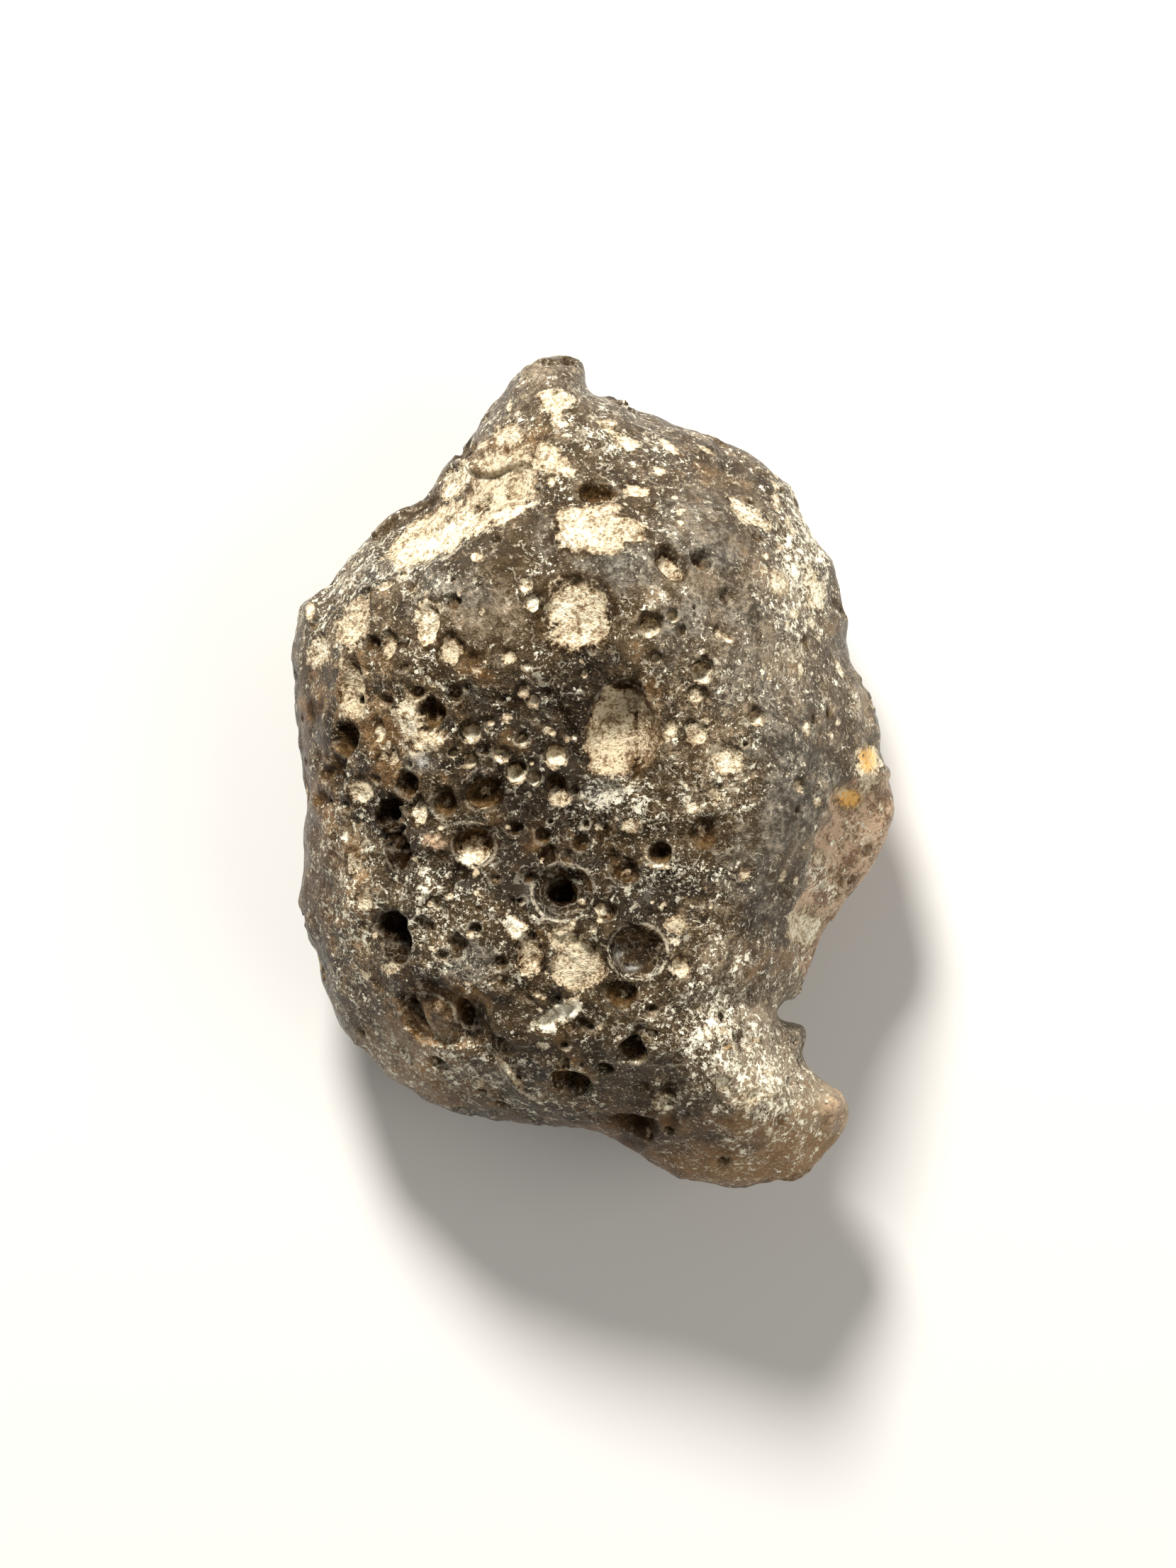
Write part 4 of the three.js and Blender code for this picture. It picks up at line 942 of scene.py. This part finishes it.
# where the skin is flecked, light, brown, pink, tan, cool or stained, written like the swells
regions = {
    "flecky": [
        (9.9, -4.6, 1.2, 1.6, 0.9), (8.6, 11.3, 1, 1.4, 0.5), (7.9, 8.2, 0.9, 1.2, 0.5),
        (2, -14.6, 1.6, 1, 0.2), (7, -12.9, 2.7, 2, 1), (4.6, -10.6, 2, 1.2, 0.7),
        (3.6, -4.4, 2.4, 0.8, 0.5), (5.8, -0.6, 2.6, 1, 0.6), (1, -1, 1.3, 0.9, 0.6),
        (8.8, 8.5, 1.3, 3, 0.5), (8.5, 2, 1.6, 3.2, 0.3), (-10.6, -5, 2.2, 4.6, 0.6),
        (-7, -12.2, 3.2, 1.4, 0.35), (-9, 9.2, 2.6, 1.3, 0.6), (-11.6, 7.6, 1.6, 1.4, 0.6),
        (-7, -5.3, 0.8, 1.4, 0.6), (0, 14.4, 4, 1.6, 0.3), (2.4, -1.6, 2, 1.6, 0.2),
        (5.4, -8, 1.8, 2.2, 0.6), (6.5, -15.8, 3, 1.2, 0.4), (9.2, -15.2, 0.9, 0.8, 0.5),
        (-2, -13.4, 3, 1.4, 0.5), (5.4, 9, 1.6, 2.6, -0.5), (-4.6, 6.9, 1.4, 1.7, -0.5),
        (0.8, 8.6, 1.6, 0.8, -0.5), (1.3, 2.3, 1.4, 2, -0.4), (11.6, -3.2, 1.6, 3, -0.1),
        (0, -15.6, 8, 0.9, -0.2), (0.2, -0.9, 1, 0.7, 1), (10.4, -14.6, 1, 1.4, -0.5),
        (-3, 1, 3, 3.4, -0.15), (-2, -4.2, 2.4, 1.8, 0.1), (8.5, -8.4, 1, 1, 0.5),
        (7.2, -2.4, 1.8, 1.8, -0.5), (8.8, -0.6, 1.6, 3, -0.6), (9, 10, 1.5, 2.6, 0.6),
        (-7, -12.3, 3.2, 1.2, 0.6), (-6.8, -10, 1.3, 1, -0.5), (-6, -7.6, 2, 1.2, 0.5),
        (-7.4, -4.8, 1, 1.4, 0.4),
    ],
    # at the spur tip and the knob this is partly painted light coming through the thin glass
    "lightness": [
        (5.5, -8, 1.6, 1.8, 0.38), (8.5, -8.4, 0.9, 0.9, 0.6), (8.8, -15.9, 1, 0.8, 0.8),
        (-11.7, 3, 0.8, 1.3, -0.3), (-11, -4.2, 0.7, 0.9, -0.3), (-4.8, 7, 1.2, 1.2, 0.3),
        (7, 1, 1.2, 1.2, -0.25), (-12.2, -6, 1, 2.4, -0.5), (6.2, -16.7, 3.2, 0.9, 0.55),
        (0, -3.6, 1, 0.8, -0.15), (-2, -13.6, 3, 1.2, 0.3), (-6.6, -12.2, 3, 1.4, 0.15),
        (5.6, 6.5, 4.4, 5.5, 0.35), (-2.4, -0.6, 4.2, 5, -0.75), (-8.6, -2.2, 1.8, 2.4, -0.5),
        (-8.4, -7, 1.4, 1.8, -0.4), (-1, -12.6, 4.4, 1.8, -0.3), (3, -15.6, 6.5, 1.3, -0.05),
        (-1, -14.8, 5, 0.9, -0.4), (-4.6, 6.8, 1.8, 2, 0.35), (11.6, -3, 1.8, 3.2, 0.6),
        (11.7, 3, 0.5, 1.6, 0.6), (1.7, -15.4, 0.9, 0.8, -0.8), (10.4, -14.5, 1, 1.4, 1.5),
        (3.4, -16, 0.8, 0.7, -0.4), (4.9, -15.5, 0.9, 0.5, -0.8), (6.8, -16, 0.8, 0.5, -0.7),
        (8.2, -17, 1.2, 0.8, 0.7), (5.6, -17, 1.2, 0.5, 0.5), (7, -12.8, 2.6, 2, 0.7),
        (-6.4, 4.6, 2.2, 1.8, -0.2), (3, 0.4, 2.4, 1.2, 0.1), (-10.8, -5, 2, 4, 0.15),
        (-1.6, 10.5, 2.4, 2, -0.3), (1.6, 4.6, 2.4, 1.6, -0.4), (0, 4.6, 1.2, 0.8, -0.3),
        (-6.4, -9.6, 1.8, 1.6, -0.4), (7, -5, 1.6, 4, -0.2), (-6, 9.2, 2.2, 1, -0.4),
        (1.4, -8.6, 3, 1.6, -0.3), (-11, 1.6, 1.4, 1.6, -0.3), (-0.6, 8.6, 1.2, 0.8, 0.35),
        (5.4, 9.8, 1.2, 1.2, -0.2), (8.2, 3.4, 1.2, 1.5, 0.25), (7.6, -2.4, 1.4, 1.4, 0.5),
        (-3.6, -3.9, 2.2, 1.6, -0.5), (2.2, -5.2, 2.2, 1.7, -0.75), (-3.4, -9.6, 1.6, 1.2, -0.2),
        (-3, -12.4, 1.8, 1.2, -0.4), (-2.2, 17.2, 1, 0.8, 0.42), (4.2, 13.2, 2, 1, -0.15),
        (-12.6, 0.5, 1.1, 3.4, -0.6), (-11.8, -5, 1.3, 3, -0.6), (9.2, -15, 1.2, 1, 1),
        # (-7.3, 0.5) is lightened for a painted sheen on glass
        (-1.4, -5, 1.2, 1.2, -0.4), (1.9, -7.2, 1, 0.9, -0.4), (-7.3, 0.5, 0.7, 0.5, 0.8),
        (7.2, -10.1, 1.2, 0.8, 0.6), (-2.2, 2.6, 1.6, 1.6, -0.3),
    ],
    "brown": [
        (-9, 1.6, 3.2, 3.4, 0.5), (-6.8, -10, 1.6, 1.5, 1.3), (0, -15.6, 8, 1.1, 0.9),
        (5.6, -16.4, 3.6, 1.3, 1.2), (-10.8, -5, 1.8, 4.4, 0.3), (-8.8, -12.2, 2.6, 1.3, 1.2),
        (-2, -2.4, 2.6, 2, 0.35), (8, -8, 1.4, 1, 0.5), (-4.9, 4.2, 0.7, 0.6, 0.8),
        # (2, 3.4) is brown darkened as painted shade on the upper wall of the smooth hollow
        (-1.2, -13, 1.4, 1.1, 0.6), (2, 3.4, 0.8, 0.9, 1), (8.8, -15, 2, 1.8, 0.4), (4, -16, 3, 1, 0.4),
        (7.4, -16.8, 2, 0.8, 1), (-12.6, 0.5, 1.2, 3.6, 0.8), (-11.9, -5, 1.3, 3.2, 0.6),
        (-6.4, -13.7, 2, 0.6, 1.3), (-9.2, -12.2, 1, 0.7, 1), (1.7, -15.3, 1.2, 1, 1.3),
        (4.2, 13.2, 2, 0.9, 0.35), (10.4, -4.7, 0.5, 0.6, 1), (10, -3.4, 0.3, 0.4, 0.6),
        (3.2, 14.2, 0.8, 0.5, 0.4), (-3.4, 14.3, 1.6, 0.6, 0.9), (-5, 12.3, 0.6, 1, 0.7),
    ],
    # pink-brown is partly the glass's own colour and partly painted warm light coming through the thin
    # glass of the ledge and spur tip
    "pink": [
        (11.7, -3, 1.5, 2.9, 1.2), (10.4, -14.6, 0.9, 1.2, 0.6), (-6.9, -2.9, 0.7, 0.5, 0.6),
        (-9.8, -5.5, 0.6, 0.6, 0.4), (12, 2.4, 0.5, 1.8, 0.25), (-3.3, 14.4, 1.1, 0.8, 0.4),
        (3.5, -6.2, 0.7, 0.8, 0.4), (-1.4, 17.4, 1, 0.5, 0.3),
    ],
    "tanGrain": [
        (-11.6, -2, 2, 7, 0.2), (-10.4, -3.4, 1.1, 2.2, 0.45), (-10.2, -8, 1.4, 1.6, 0.3),
        (-9.6, 3.4, 2.6, 2.6, 0.3), (-8.4, -11.6, 2.6, 1.6, 0.4), (2.1, -7, 0.6, 0.5, 0.5),
        (-4.3, 13.2, 2, 1.5, 0.5), (9.9, -4.4, 1, 2, 0.5), (-6.8, -10, 1.8, 1.6, 0.4),
        (4, -6.4, 1.6, 1.4, 0.35), (4.6, 3.4, 1.6, 1.6, 0.35), (5.6, -0.4, 2, 1.1, 0.3),
        (6.6, -16, 3, 1.2, 0.25), (8.8, -16, 1, 1, 0.3), (8.5, -8.4, 0.9, 0.9, 0.4),
        (-0.6, -3, 2.4, 1, 0.3), (5, 1, 1.6, 1.2, 0.35),
    ],
    # cool above 1 becomes a painted sheen on glass, as at (-7.3, 0.5) and in the crater near (1.3, -7.9)
    "cool": [
        (-7.3, 0.5, 0.8, 0.5, 1.5), (0.1, -0.7, 0.9, 0.5, 0.8), (1, -7.6, 0.24, 0.4, 1.6),
        (1.55, -8.2, 0.38, 0.18, 1.9), (-5.2, -8.3, 1.1, 0.8, 0.7), (0.8, 8.8, 1.2, 0.8, 0.6),
        (-1.9, -5.9, 0.5, 0.4, 1), (-2.6, 9.6, 0.8, 0.8, 0.5), (8.6, -0.6, 2, 3.6, 0.95),
        (10.6, 2.6, 0.6, 1.2, 0.5), (6.6, -4.6, 1.8, 2, 0.4), (-5, 7.2, 1.4, 1.3, 0.4),
        (2.9, 6, 1, 1, 0.4), (-9.2, 3.9, 0.6, 0.7, 0.6), (-6, 8, 2.4, 1.2, 0.6),
        (1.6, 8.8, 3.4, 1.8, 0.5), (4.6, 10.8, 2.8, 2.4, 0.6), (5.8, 4.6, 2.8, 3.4, 0.55),
        (-9.4, 8.6, 1.4, 1.2, 0.4), (-5, -7.6, 1.6, 1, 0.4),
    ],
    "amber": [
        (10.9, -1.05, 0.7, 0.5, 1.3), (11.75, 0.65, 0.5, 0.7, 1.3), (5.6, -11.6, 0.45, 0.3, 0.7),
        (-4.9, 4.3, 0.5, 0.45, 0.5),
    ],
}

# colours of the glass and of what sticks to it; deepPit, pit and olive also paint the shade and light
# inside holes, and rim and sheen are painted highlights
tints = {
    "deepGlass": (0.01, 0.005, 0.0015), "glass": (0.07, 0.045, 0.02), "lightGlass": (0.228, 0.18, 0.126),
    "film": (0.43, 0.36, 0.268), "tanFilm": (0.41, 0.30, 0.185), "darkBrown": (0.085, 0.042, 0.013),
    "brown": (0.30, 0.175, 0.072), "deepPit": (0.026, 0.0125, 0.0035), "pit": (0.15, 0.09, 0.038),
    "olive": (0.20, 0.135, 0.062), "darkPink": (0.25, 0.155, 0.09), "pink": (0.66, 0.49, 0.345),
    "amber": (0.95, 0.56, 0.15), "crumb": (0.20, 0.132, 0.073), "tan": (0.37, 0.285, 0.19),
    "cream": (0.68, 0.59, 0.43), "white": (0.97, 0.93, 0.77), "deepCool": (0.066, 0.060, 0.050),
    "cool": (0.29, 0.275, 0.235), "sheen": (0.62, 0.64, 0.61), "rim": (0.66, 0.60, 0.48),
}

# how dust, grime, painted light and painted shade lie in a bubble; how far in a place lies goes from 0 at
# the rim to 1
laying = {
    "worked": (1.5, 0.2),         # how far round a bubble: in its own size, and beyond
    "aboveMouth": 0.3,            # skin this far above its mouth still belongs to it
    "belowMouth": 1.8,            # and below it, in its depths
    "rimPlace": 1.05,             # where its rim is, in half widths
    "edge": 1.1,                  # a kind with this much dust is full up to its rim
    "lowerDustSpread": 0.35,        # how much further dust spreads in the lower half
    "paintedLowerLight": 1.6,          # and how much lighter it is painted there, as painted light
    "clearFrom": 0.12,            # clean holes have no dust from here inwards
    "noDust": -0.6,
    "litReach": 1.3,              # how soon a lower wall gets its full painted light
    "packedDustShade": (0.8, 0.13),    # painted shade: dark line round packed dust: strength and width
    "gnawedShade": (4, 0.7),       # how soon and how far painted shade darkens gnawed hollows
    "crownDepth": 1.6,            # cakes and smears lie no further down than this
    "cakeWander": 0.07,           # how far the edges of cakes bend to and fro
}

points = pointArray()
dust = np.full(len(points), -1.0)
bright = np.zeros(len(points))
hole = np.zeros(len(points))
lit = np.zeros(len(points))          # painted light on the lower walls of open bubbles
clean = np.zeros(len(points), bool)  # deep holes, which stay free of dust
rimGap = np.ones(len(points))        # how far in from the nearest bubble rim
rimHighlight = np.zeros(len(points))      # and how light the painted highlight on that rim is
order = np.argsort(points[:, 0])
sortedX = points[order, 0]


def pointsNear(place, reach):
    first, last = np.searchsorted(sortedX, [place[0] - reach, place[0] + reach])
    some = order[first:last]
    return some[np.abs(points[some, 1] - place[1]) < reach]


ownSize, beyond = laying["worked"]
strength, width = laying["packedDustShade"]
for place, across, along, outward, halfWidth, halfLength, depth, kind in bubbleLog:
    some = pointsNear(place, max(halfWidth, halfLength, depth) * ownSize + beyond)
    offset = points[some] - place
    u, v, w = offset @ across / halfWidth, offset @ along / halfLength, offset @ outward
    here = (w < laying["aboveMouth"]) & (w > -laying["belowMouth"] * depth)
    inside = np.where(here, laying["rimPlace"] - np.sqrt(u * u + v * v), -1)
    share = np.clip((inside + 0.1) * 5, 0, 1)
    lowness = np.clip(-offset[:, 1] / max(halfWidth, halfLength), -1, 1)
    # painted light and shade: dust reaches further and is lighter in the lower half of a bubble, darker in
    # its upper half
    lowerDustAndLight = kind["lowerDustAndLight"] * lowness
    laid = inside + kind["dust"] - laying["edge"] + laying["lowerDustSpread"] * lowerDustAndLight
    dust[some] = np.maximum(dust[some], np.where(inside > -0.4, laid, -1))
    # painted highlight round the rim, fading towards the top
    if kind["line"]:
        gap = inside * (halfWidth + halfLength) / 2
        closer = np.abs(gap) < np.abs(rimGap[some])
        rimGap[some[closer]] = gap[closer]
        fade = kind["fade"]
        rimHighlight[some[closer]] = (kind["line"] * np.clip(1.2 - fade + fade * lowness, 0.1, 1))[closer]
    if kind is bubbleKinds["ringed"]:
        dust[some] = np.maximum(dust[some], 0.02 - 1.6 * np.abs(inside + 0.1))
    if kind["dust"] > 0.2:
        bright[some] += share * (kind["bright"] + laying["paintedLowerLight"] * lowerDustAndLight - bright[some])
    # painted shade: the hole goes darker going down, over its brown grime; its lower wall gets painted
    # light
    hole[some] = np.maximum(hole[some], share * np.clip(-w * kind["steep"], 0, 1) * kind["grimeAndShade"])
    lit[some] += share * (np.clip(lowness * laying["litReach"], 0, 1) * kind["floor"] - lit[some])
    if kind["dust"] < 0:
        dust[some] = np.where(inside > laying["clearFrom"], laying["noDust"], dust[some])
    # deep holes and clefts stay free of dust, and their lower walls get painted shade instead of painted
    # light
    if kind in (bubbleKinds["shaft"], bubbleKinds["cleft"]):
        clean[some] |= inside > laying["clearFrom"]
        lit[some] -= laying["litReach"] * share
    # painted shade: a dark line in the gap round packed dust
    if kind["dust"] > 0.5 and halfWidth > 0.35:
        hole[some] = np.maximum(hole[some], strength * np.exp(-((inside + 0.02) / width) ** 2))

crownPoints = np.nonzero(points[:, 2] > lump["widestHeight"] - laying["crownDepth"])[0]
x, y = points[crownPoints, 0], points[crownPoints, 1]
bend = laying["cakeWander"]
bentX, bentY = x + bend * np.sin(7 * y), y + bend * np.sin(6 * x + 1)
for strength, corners in cakes:
    edge = insetFrom(corners, bentX, bentY)
    dust[crownPoints] = np.maximum(dust[crownPoints], np.clip(edge * 1.2 + 0.04, -1, 0.8))
    bright[crownPoints] += np.clip(edge * 5 + 1, 0, 1) * (strength - bright[crownPoints])

for smear in smears:
    x, y, halfWidth, halfLength, strength, turn = inFull(smear, 1, 0)
    place = skinPlace(x, y, 1)
    some = pointsNear(place, max(halfWidth, halfLength) * 1.6)
    some = some[points[some, 2] > place[2] - laying["crownDepth"]]
    u, v = turned(points[some, 0] - x, points[some, 1] - y, turn)
    u, v = u / halfWidth, v / halfLength
    inside = 1 - np.sqrt(u * u + v * v)
    dust[some] = np.maximum(dust[some], np.where(inside > -0.5, inside * 0.8, -1))
    bright[some] += np.clip(inside * 4 + 1, 0, 1) * (strength - bright[some])

# painted highlights along ridges, in the same attribute as the rim highlights
for strength, corners in ridgeHighlights:
    gap = gapFromLine(corners, points[crownPoints, 0], points[crownPoints, 1])
    closer = np.abs(gap) < np.abs(rimGap[crownPoints])
    rimGap[crownPoints[closer]] = gap[closer]
    rimHighlight[crownPoints[closer]] = strength


def storeValues(name, values):
    attribute = stoneMesh.attributes.new(name, "FLOAT", "POINT")
    attribute.data.foreach_set("value", values.astype(np.float32))


dust[clean] = laying["noDust"]
# painted shade in the gnawed hollows, darker where deeper
soonDark, darkest = laying["gnawedShade"]
hole = np.maximum(hole, np.clip(sampleField(eaten, points) * soonDark, 0, darkest))
laidValues = {"dust": dust, "bright": bright, "hole": hole, "lit": lit,
              "rimGap": rimGap, "rimHighlight": rimHighlight}
for name, values in laidValues.items():
    storeValues(name, values)
for name, patches in regions.items():
    values = formRise(patches, points[:, 0], points[:, 1])
    if name == "pink":                  # the ledge's pink-brown, partly painted warm light through thin glass, goes right up to its step
        edge = insetFrom(steps["ledge"][2], points[:, 0] + 0.12 * np.sin(4.3 * points[:, 1]), points[:, 1])
        values = np.maximum(values, np.clip(edge * 4 + 0.5, 0, 1) * np.clip((points[:, 2] - 2.5) / 3, 0, 1))
    storeValues(name, values)
print("dust laid")

# how fully each thing covers the glass, and how the finished skin shines
finish = {
    "leastFilm": 0.38, "filmWithLight": 0.6, "mostFilm": 0.62,
    "brown": 0.85, "cool": 0.75, "pink": 0.85, "hairs": 0.42, "specks": 0.8, "grimeAndShade": 0.88, "rimHighlights": 0.75,
    "dust": 0.96, "stain": 0.75,
    "leastTan": 0.24, "mostTan": 0.8, "leastFleck": 0.5, "usualFleck": 0.92,
    "deepening": 1.20,            # darks a little darker and warmer
    "refraction": 1.46, "shine": 0.40, "shineTint": (1.0, 0.82, 0.60, 1),
    "smoothGlass": 0.15, "mattDust": 0.92, "reliefStrength": 0.9, "reliefDepth": 0.00016,
}

# cloudy textures: blobs to a millimetre, detail, roughness, shift
clouds = {
    "broad": (0.28, 3, 0.6, 11), "drift": (0.55, 3, 0.6, 173), "thick": (0.75, 3, 0.6, 67),
    "lumps": (0.8, 2, 0.5, 167), "blotch": (1.2, 5, 0.68, 23), "grit": (4.2, 4, 0.68, 37),
    "grains": (7.5, 2, 0.7, 59), "powder": (11, 2, 0.6, 51),
    "crumbs": (2.7, 5, 0.72, 79), "specks": (6.2, 3, 0.66, 97), "fleckLight": (2.3, 3, 0.6, 149),
    "hairs": (1.1, 2, 0.5, 113), "hairPatches": (1.3, 2, 0.5, 116),
    "fineHairs": (1.9, 2, 0.5, 119), "fineHairPatches": (1.3, 2, 0.5, 122),
}

look = bpy.data.materials.new("frosted impact glass")
look.use_nodes = True
nodes, links = look.node_tree.nodes, look.node_tree.links
shader = nodes["Principled BSDF"]


def feed(socket, value):
    if isinstance(value, bpy.types.NodeSocket):
        links.new(value, socket)
    else:
        socket.default_value = value


def maths(operation, a, b=0.0):
    node = nodes.new("ShaderNodeMath")
    node.operation = operation
    feed(node.inputs[0], a)
    feed(node.inputs[1], b)
    return node.outputs[0]


# one sum, product or largest value of several
def joined(operation, values):
    total = values[0]
    for value in values[1:]:
        total = maths(operation, total, value)
    return total


def plus(*values):
    return joined("ADD", values)


def times(*values):
    return joined("MULTIPLY", values)


def most(*values):
    return joined("MAXIMUM", values)


def within(value, low, high):
    return maths("MINIMUM", maths("MAXIMUM", value, low), high)


def step(value, low, high):
    node = nodes.new("ShaderNodeMapRange")
    node.interpolation_type = "SMOOTHSTEP"
    feed(node.inputs["Value"], value)
    node.inputs["From Min"].default_value = low
    node.inputs["From Max"].default_value = high
    return node.outputs["Result"]


# one colour over another; a colour is the name of a tint or what was painted before
def paint(under, over, amount):
    node = nodes.new("ShaderNodeMix")
    node.data_type = "RGBA"
    feed(node.inputs[0], amount)
    for socket, shade in ((node.inputs[6], under), (node.inputs[7], over)):
        feed(socket, (*tints[shade], 1) if isinstance(shade, str) else shade)
    return node.outputs[2]


coordinates = nodes.new("ShaderNodeTexCoord").outputs["Object"]
inMillimetres = nodes.new("ShaderNodeVectorMath")
inMillimetres.operation = "SCALE"
links.new(coordinates, inMillimetres.inputs[0])
inMillimetres.inputs["Scale"].default_value = 1 / mm


# cloudy texture from 0 to 1 with the given number of blobs to a millimetre
def cloud(perMillimetre, detail, rough, shift):
    moved = nodes.new("ShaderNodeVectorMath")
    moved.operation = "ADD"
    links.new(inMillimetres.outputs[0], moved.inputs[0])
    moved.inputs[1].default_value = (shift, shift * 1.7, -shift * 0.6)
    node = nodes.new("ShaderNodeTexNoise")
    links.new(moved.outputs[0], node.inputs["Vector"])
    node.inputs["Scale"].default_value = perMillimetre
    node.inputs["Detail"].default_value = detail
    node.inputs["Roughness"].default_value = rough
    return node.outputs["Fac"]


def stored(name):
    node = nodes.new("ShaderNodeAttribute")
    node.attribute_name = name
    return node.outputs["Fac"]


layers = {name: plus(cloud(*settings), -0.5) for name, settings in clouds.items()}
for name in (*laidValues, *regions):
    layers[name] = stored(name)


# sum of layers, each by its share
def blend(**shares):
    return plus(*[layers[name] if share == 1 else times(layers[name], share)
                  for name, share in shares.items()])


# glass: dark and cloudy, greyer where it is smooth
tone = blend(lightness=1, broad=1.2, blotch=1.7, grit=0.9, drift=1.3)
colour = paint("deepGlass", "glass", step(tone, -0.75, -0.05))
colour = paint(colour, "lightGlass", step(tone, -0.05, 0.75))

# film of fine powder rubbed into the frosted skin
layers["density"] = blend(flecky=1, thick=2.6)
film = step(blend(blotch=0.8, grit=1.3, density=0.12, lightness=0.34, powder=1), -0.06, 0.42)
filmShare = plus(times(layers["lightness"], finish["filmWithLight"]), finish["leastFilm"])
film = times(film, within(filmShare, 0.0, finish["mostFilm"]))
colour = paint(colour, "film", film)

# brown, cool grey, tan and pink-brown places
brownShare = step(blend(brown=1, blotch=1.5, drift=1.6), 0.15, 0.9)
brownColour = paint("darkBrown", "brown", step(tone, -0.7, 0.35))
colour = paint(colour, brownColour, times(brownShare, finish["brown"]))
coolShare = step(blend(cool=1, blotch=1.2, drift=-2.2), 0.15, 0.9)
coolColour = paint("deepCool", "cool", step(blend(grit=1, blotch=1), -0.15, 0.2))
# painted sheen: where cool is strongest the grey glass turns to a light painted reflection
coolColour = paint(coolColour, "sheen", step(blend(cool=1, grit=1, blotch=1), 1.0, 1.7))
colour = paint(colour, coolColour, times(coolShare, finish["cool"]))
tanShare = step(blend(tanGrain=0.5, blotch=1.4, grit=1.6, powder=1), 0.10, 0.44)
tanAmount = within(plus(blend(tanGrain=0.8, lightness=0.35), finish["leastTan"]), 0.0, finish["mostTan"])
colour = paint(colour, "tanFilm", times(tanShare, tanAmount))
# pink-brown: partly the glass's own colour, partly painted warm light coming through the thin glass
pinkShare = step(blend(pink=1, blotch=1.2), 0.25, 0.7)
pinkTone = step(blend(grit=1.2, powder=0.8, blotch=1.6, drift=0.8), -0.18, 0.16)
colour = paint(colour, paint("darkPink", "pink", pinkTone), times(pinkShare, finish["pink"]))

# flecks: crumbs of white dust, and short curved hairs of it
crumbs = step(blend(crumbs=1, density=0.082), 0.097, 0.126)
specks = step(blend(specks=1, density=0.072), 0.111, 0.146)


def hairLines(cloudName, patchy):
    return times(step(maths("ABSOLUTE", layers[cloudName]), 0.030, 0.010), step(patchy, 0.04, 0.11))


hairs = most(hairLines("hairs", blend(hairPatches=1, density=0.06)),
             hairLines("fineHairs", blend(fineHairPatches=1, density=0.06)))
flecks = most(crumbs, times(specks, finish["specks"]), times(hairs, finish["hairs"]))
fleckBright = step(blend(fleckLight=1, density=0.10, grit=0.5), -0.16, 0.10)
fleckShare = within(plus(blend(lightness=0.5), finish["usualFleck"]), finish["leastFleck"], 1.0)
colour = paint(colour, paint("tan", "white", fleckBright), times(flecks, fleckShare))

# brown grime and painted shade inside the open bubbles, darker going down, with painted light (olive) on
# their lower walls
grimeAndShade = paint("deepPit", "pit", step(blend(lit=0.5, grit=1, blotch=1), -0.15, 0.32))
grimeAndShade = paint(grimeAndShade, "olive", step(blend(lit=1, grit=1, blotch=1), 0.25, 0.8))
colour = paint(colour, grimeAndShade, times(layers["hole"], finish["grimeAndShade"]))

# painted highlights: light lines along the rims of bubbles and along ridges
rim = step(maths("ABSOLUTE", blend(rimGap=1, blotch=0.25)), 0.10, 0.03)
rim = times(rim, layers["rimHighlight"], step(blend(grit=1, blotch=1), -0.14, 0.06))
colour = paint(colour, "rim", times(rim, finish["rimHighlights"]))

# dust packed in the bubbles, and amber stains
dusty = step(blend(dust=1, grit=1.1, blotch=1, lumps=0.7), -0.02, 0.10)
packed = times(step(layers["dust"], 0.0, 0.45), 0.40)
# the dust's lightness holds painted light in the lower halves of bubbles and painted shade in their upper
# halves
crumble = plus(blend(bright=0.27, grit=2.3, grains=1.9, blotch=2.2), packed, -0.24)
dustColour = paint("crumb", "tan", step(crumble, -0.42, -0.06))
dustColour = paint(dustColour, "cream", step(crumble, -0.04, 0.30))
dustColour = paint(dustColour, "white", times(step(crumble, 0.34, 0.72), layers["bright"]))
colour = paint(colour, dustColour, times(dusty, finish["dust"]))
amberShare = step(blend(amber=1, grit=1.8, blotch=1.8), 0.45, 0.9)
amberColour = paint("amber", "cream", step(blend(grit=1, blotch=1), 0.0, 0.16))
colour = paint(colour, amberColour, times(amberShare, finish["stain"]))
deepened = nodes.new("ShaderNodeGamma")
links.new(colour, deepened.inputs["Color"])
deepened.inputs["Gamma"].default_value = finish["deepening"]
links.new(deepened.outputs["Color"], shader.inputs["Base Color"])

# shine and fine relief
matt = most(dusty, flecks, times(layers["hole"], 0.8))
glassy = plus(blend(blotch=0.2), times(film, 0.7), finish["smoothGlass"])
glassy = times(glassy, maths("SUBTRACT", 1.0, matt))
links.new(plus(glassy, times(matt, finish["mattDust"])), shader.inputs["Roughness"])
shader.inputs["IOR"].default_value = finish["refraction"]
shine = times(finish["shine"], maths("SUBTRACT", 1.0, times(layers["hole"], 0.85)))
links.new(shine, shader.inputs["Specular IOR Level"])
shader.inputs["Specular Tint"].default_value = finish["shineTint"]
relief = plus(blend(grit=1, powder=0.4, blotch=0.6), times(matt, 0.25),
              times(dusty, blend(grit=0.8, grains=0.7)))
bump = nodes.new("ShaderNodeBump")
bump.inputs["Strength"].default_value = finish["reliefStrength"]
bump.inputs["Distance"].default_value = finish["reliefDepth"]
links.new(relief, bump.inputs["Height"])
links.new(bump.outputs["Normal"], shader.inputs["Normal"])
stoneMesh.materials.append(look)

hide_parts("impact_glass")
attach(stone, "root")
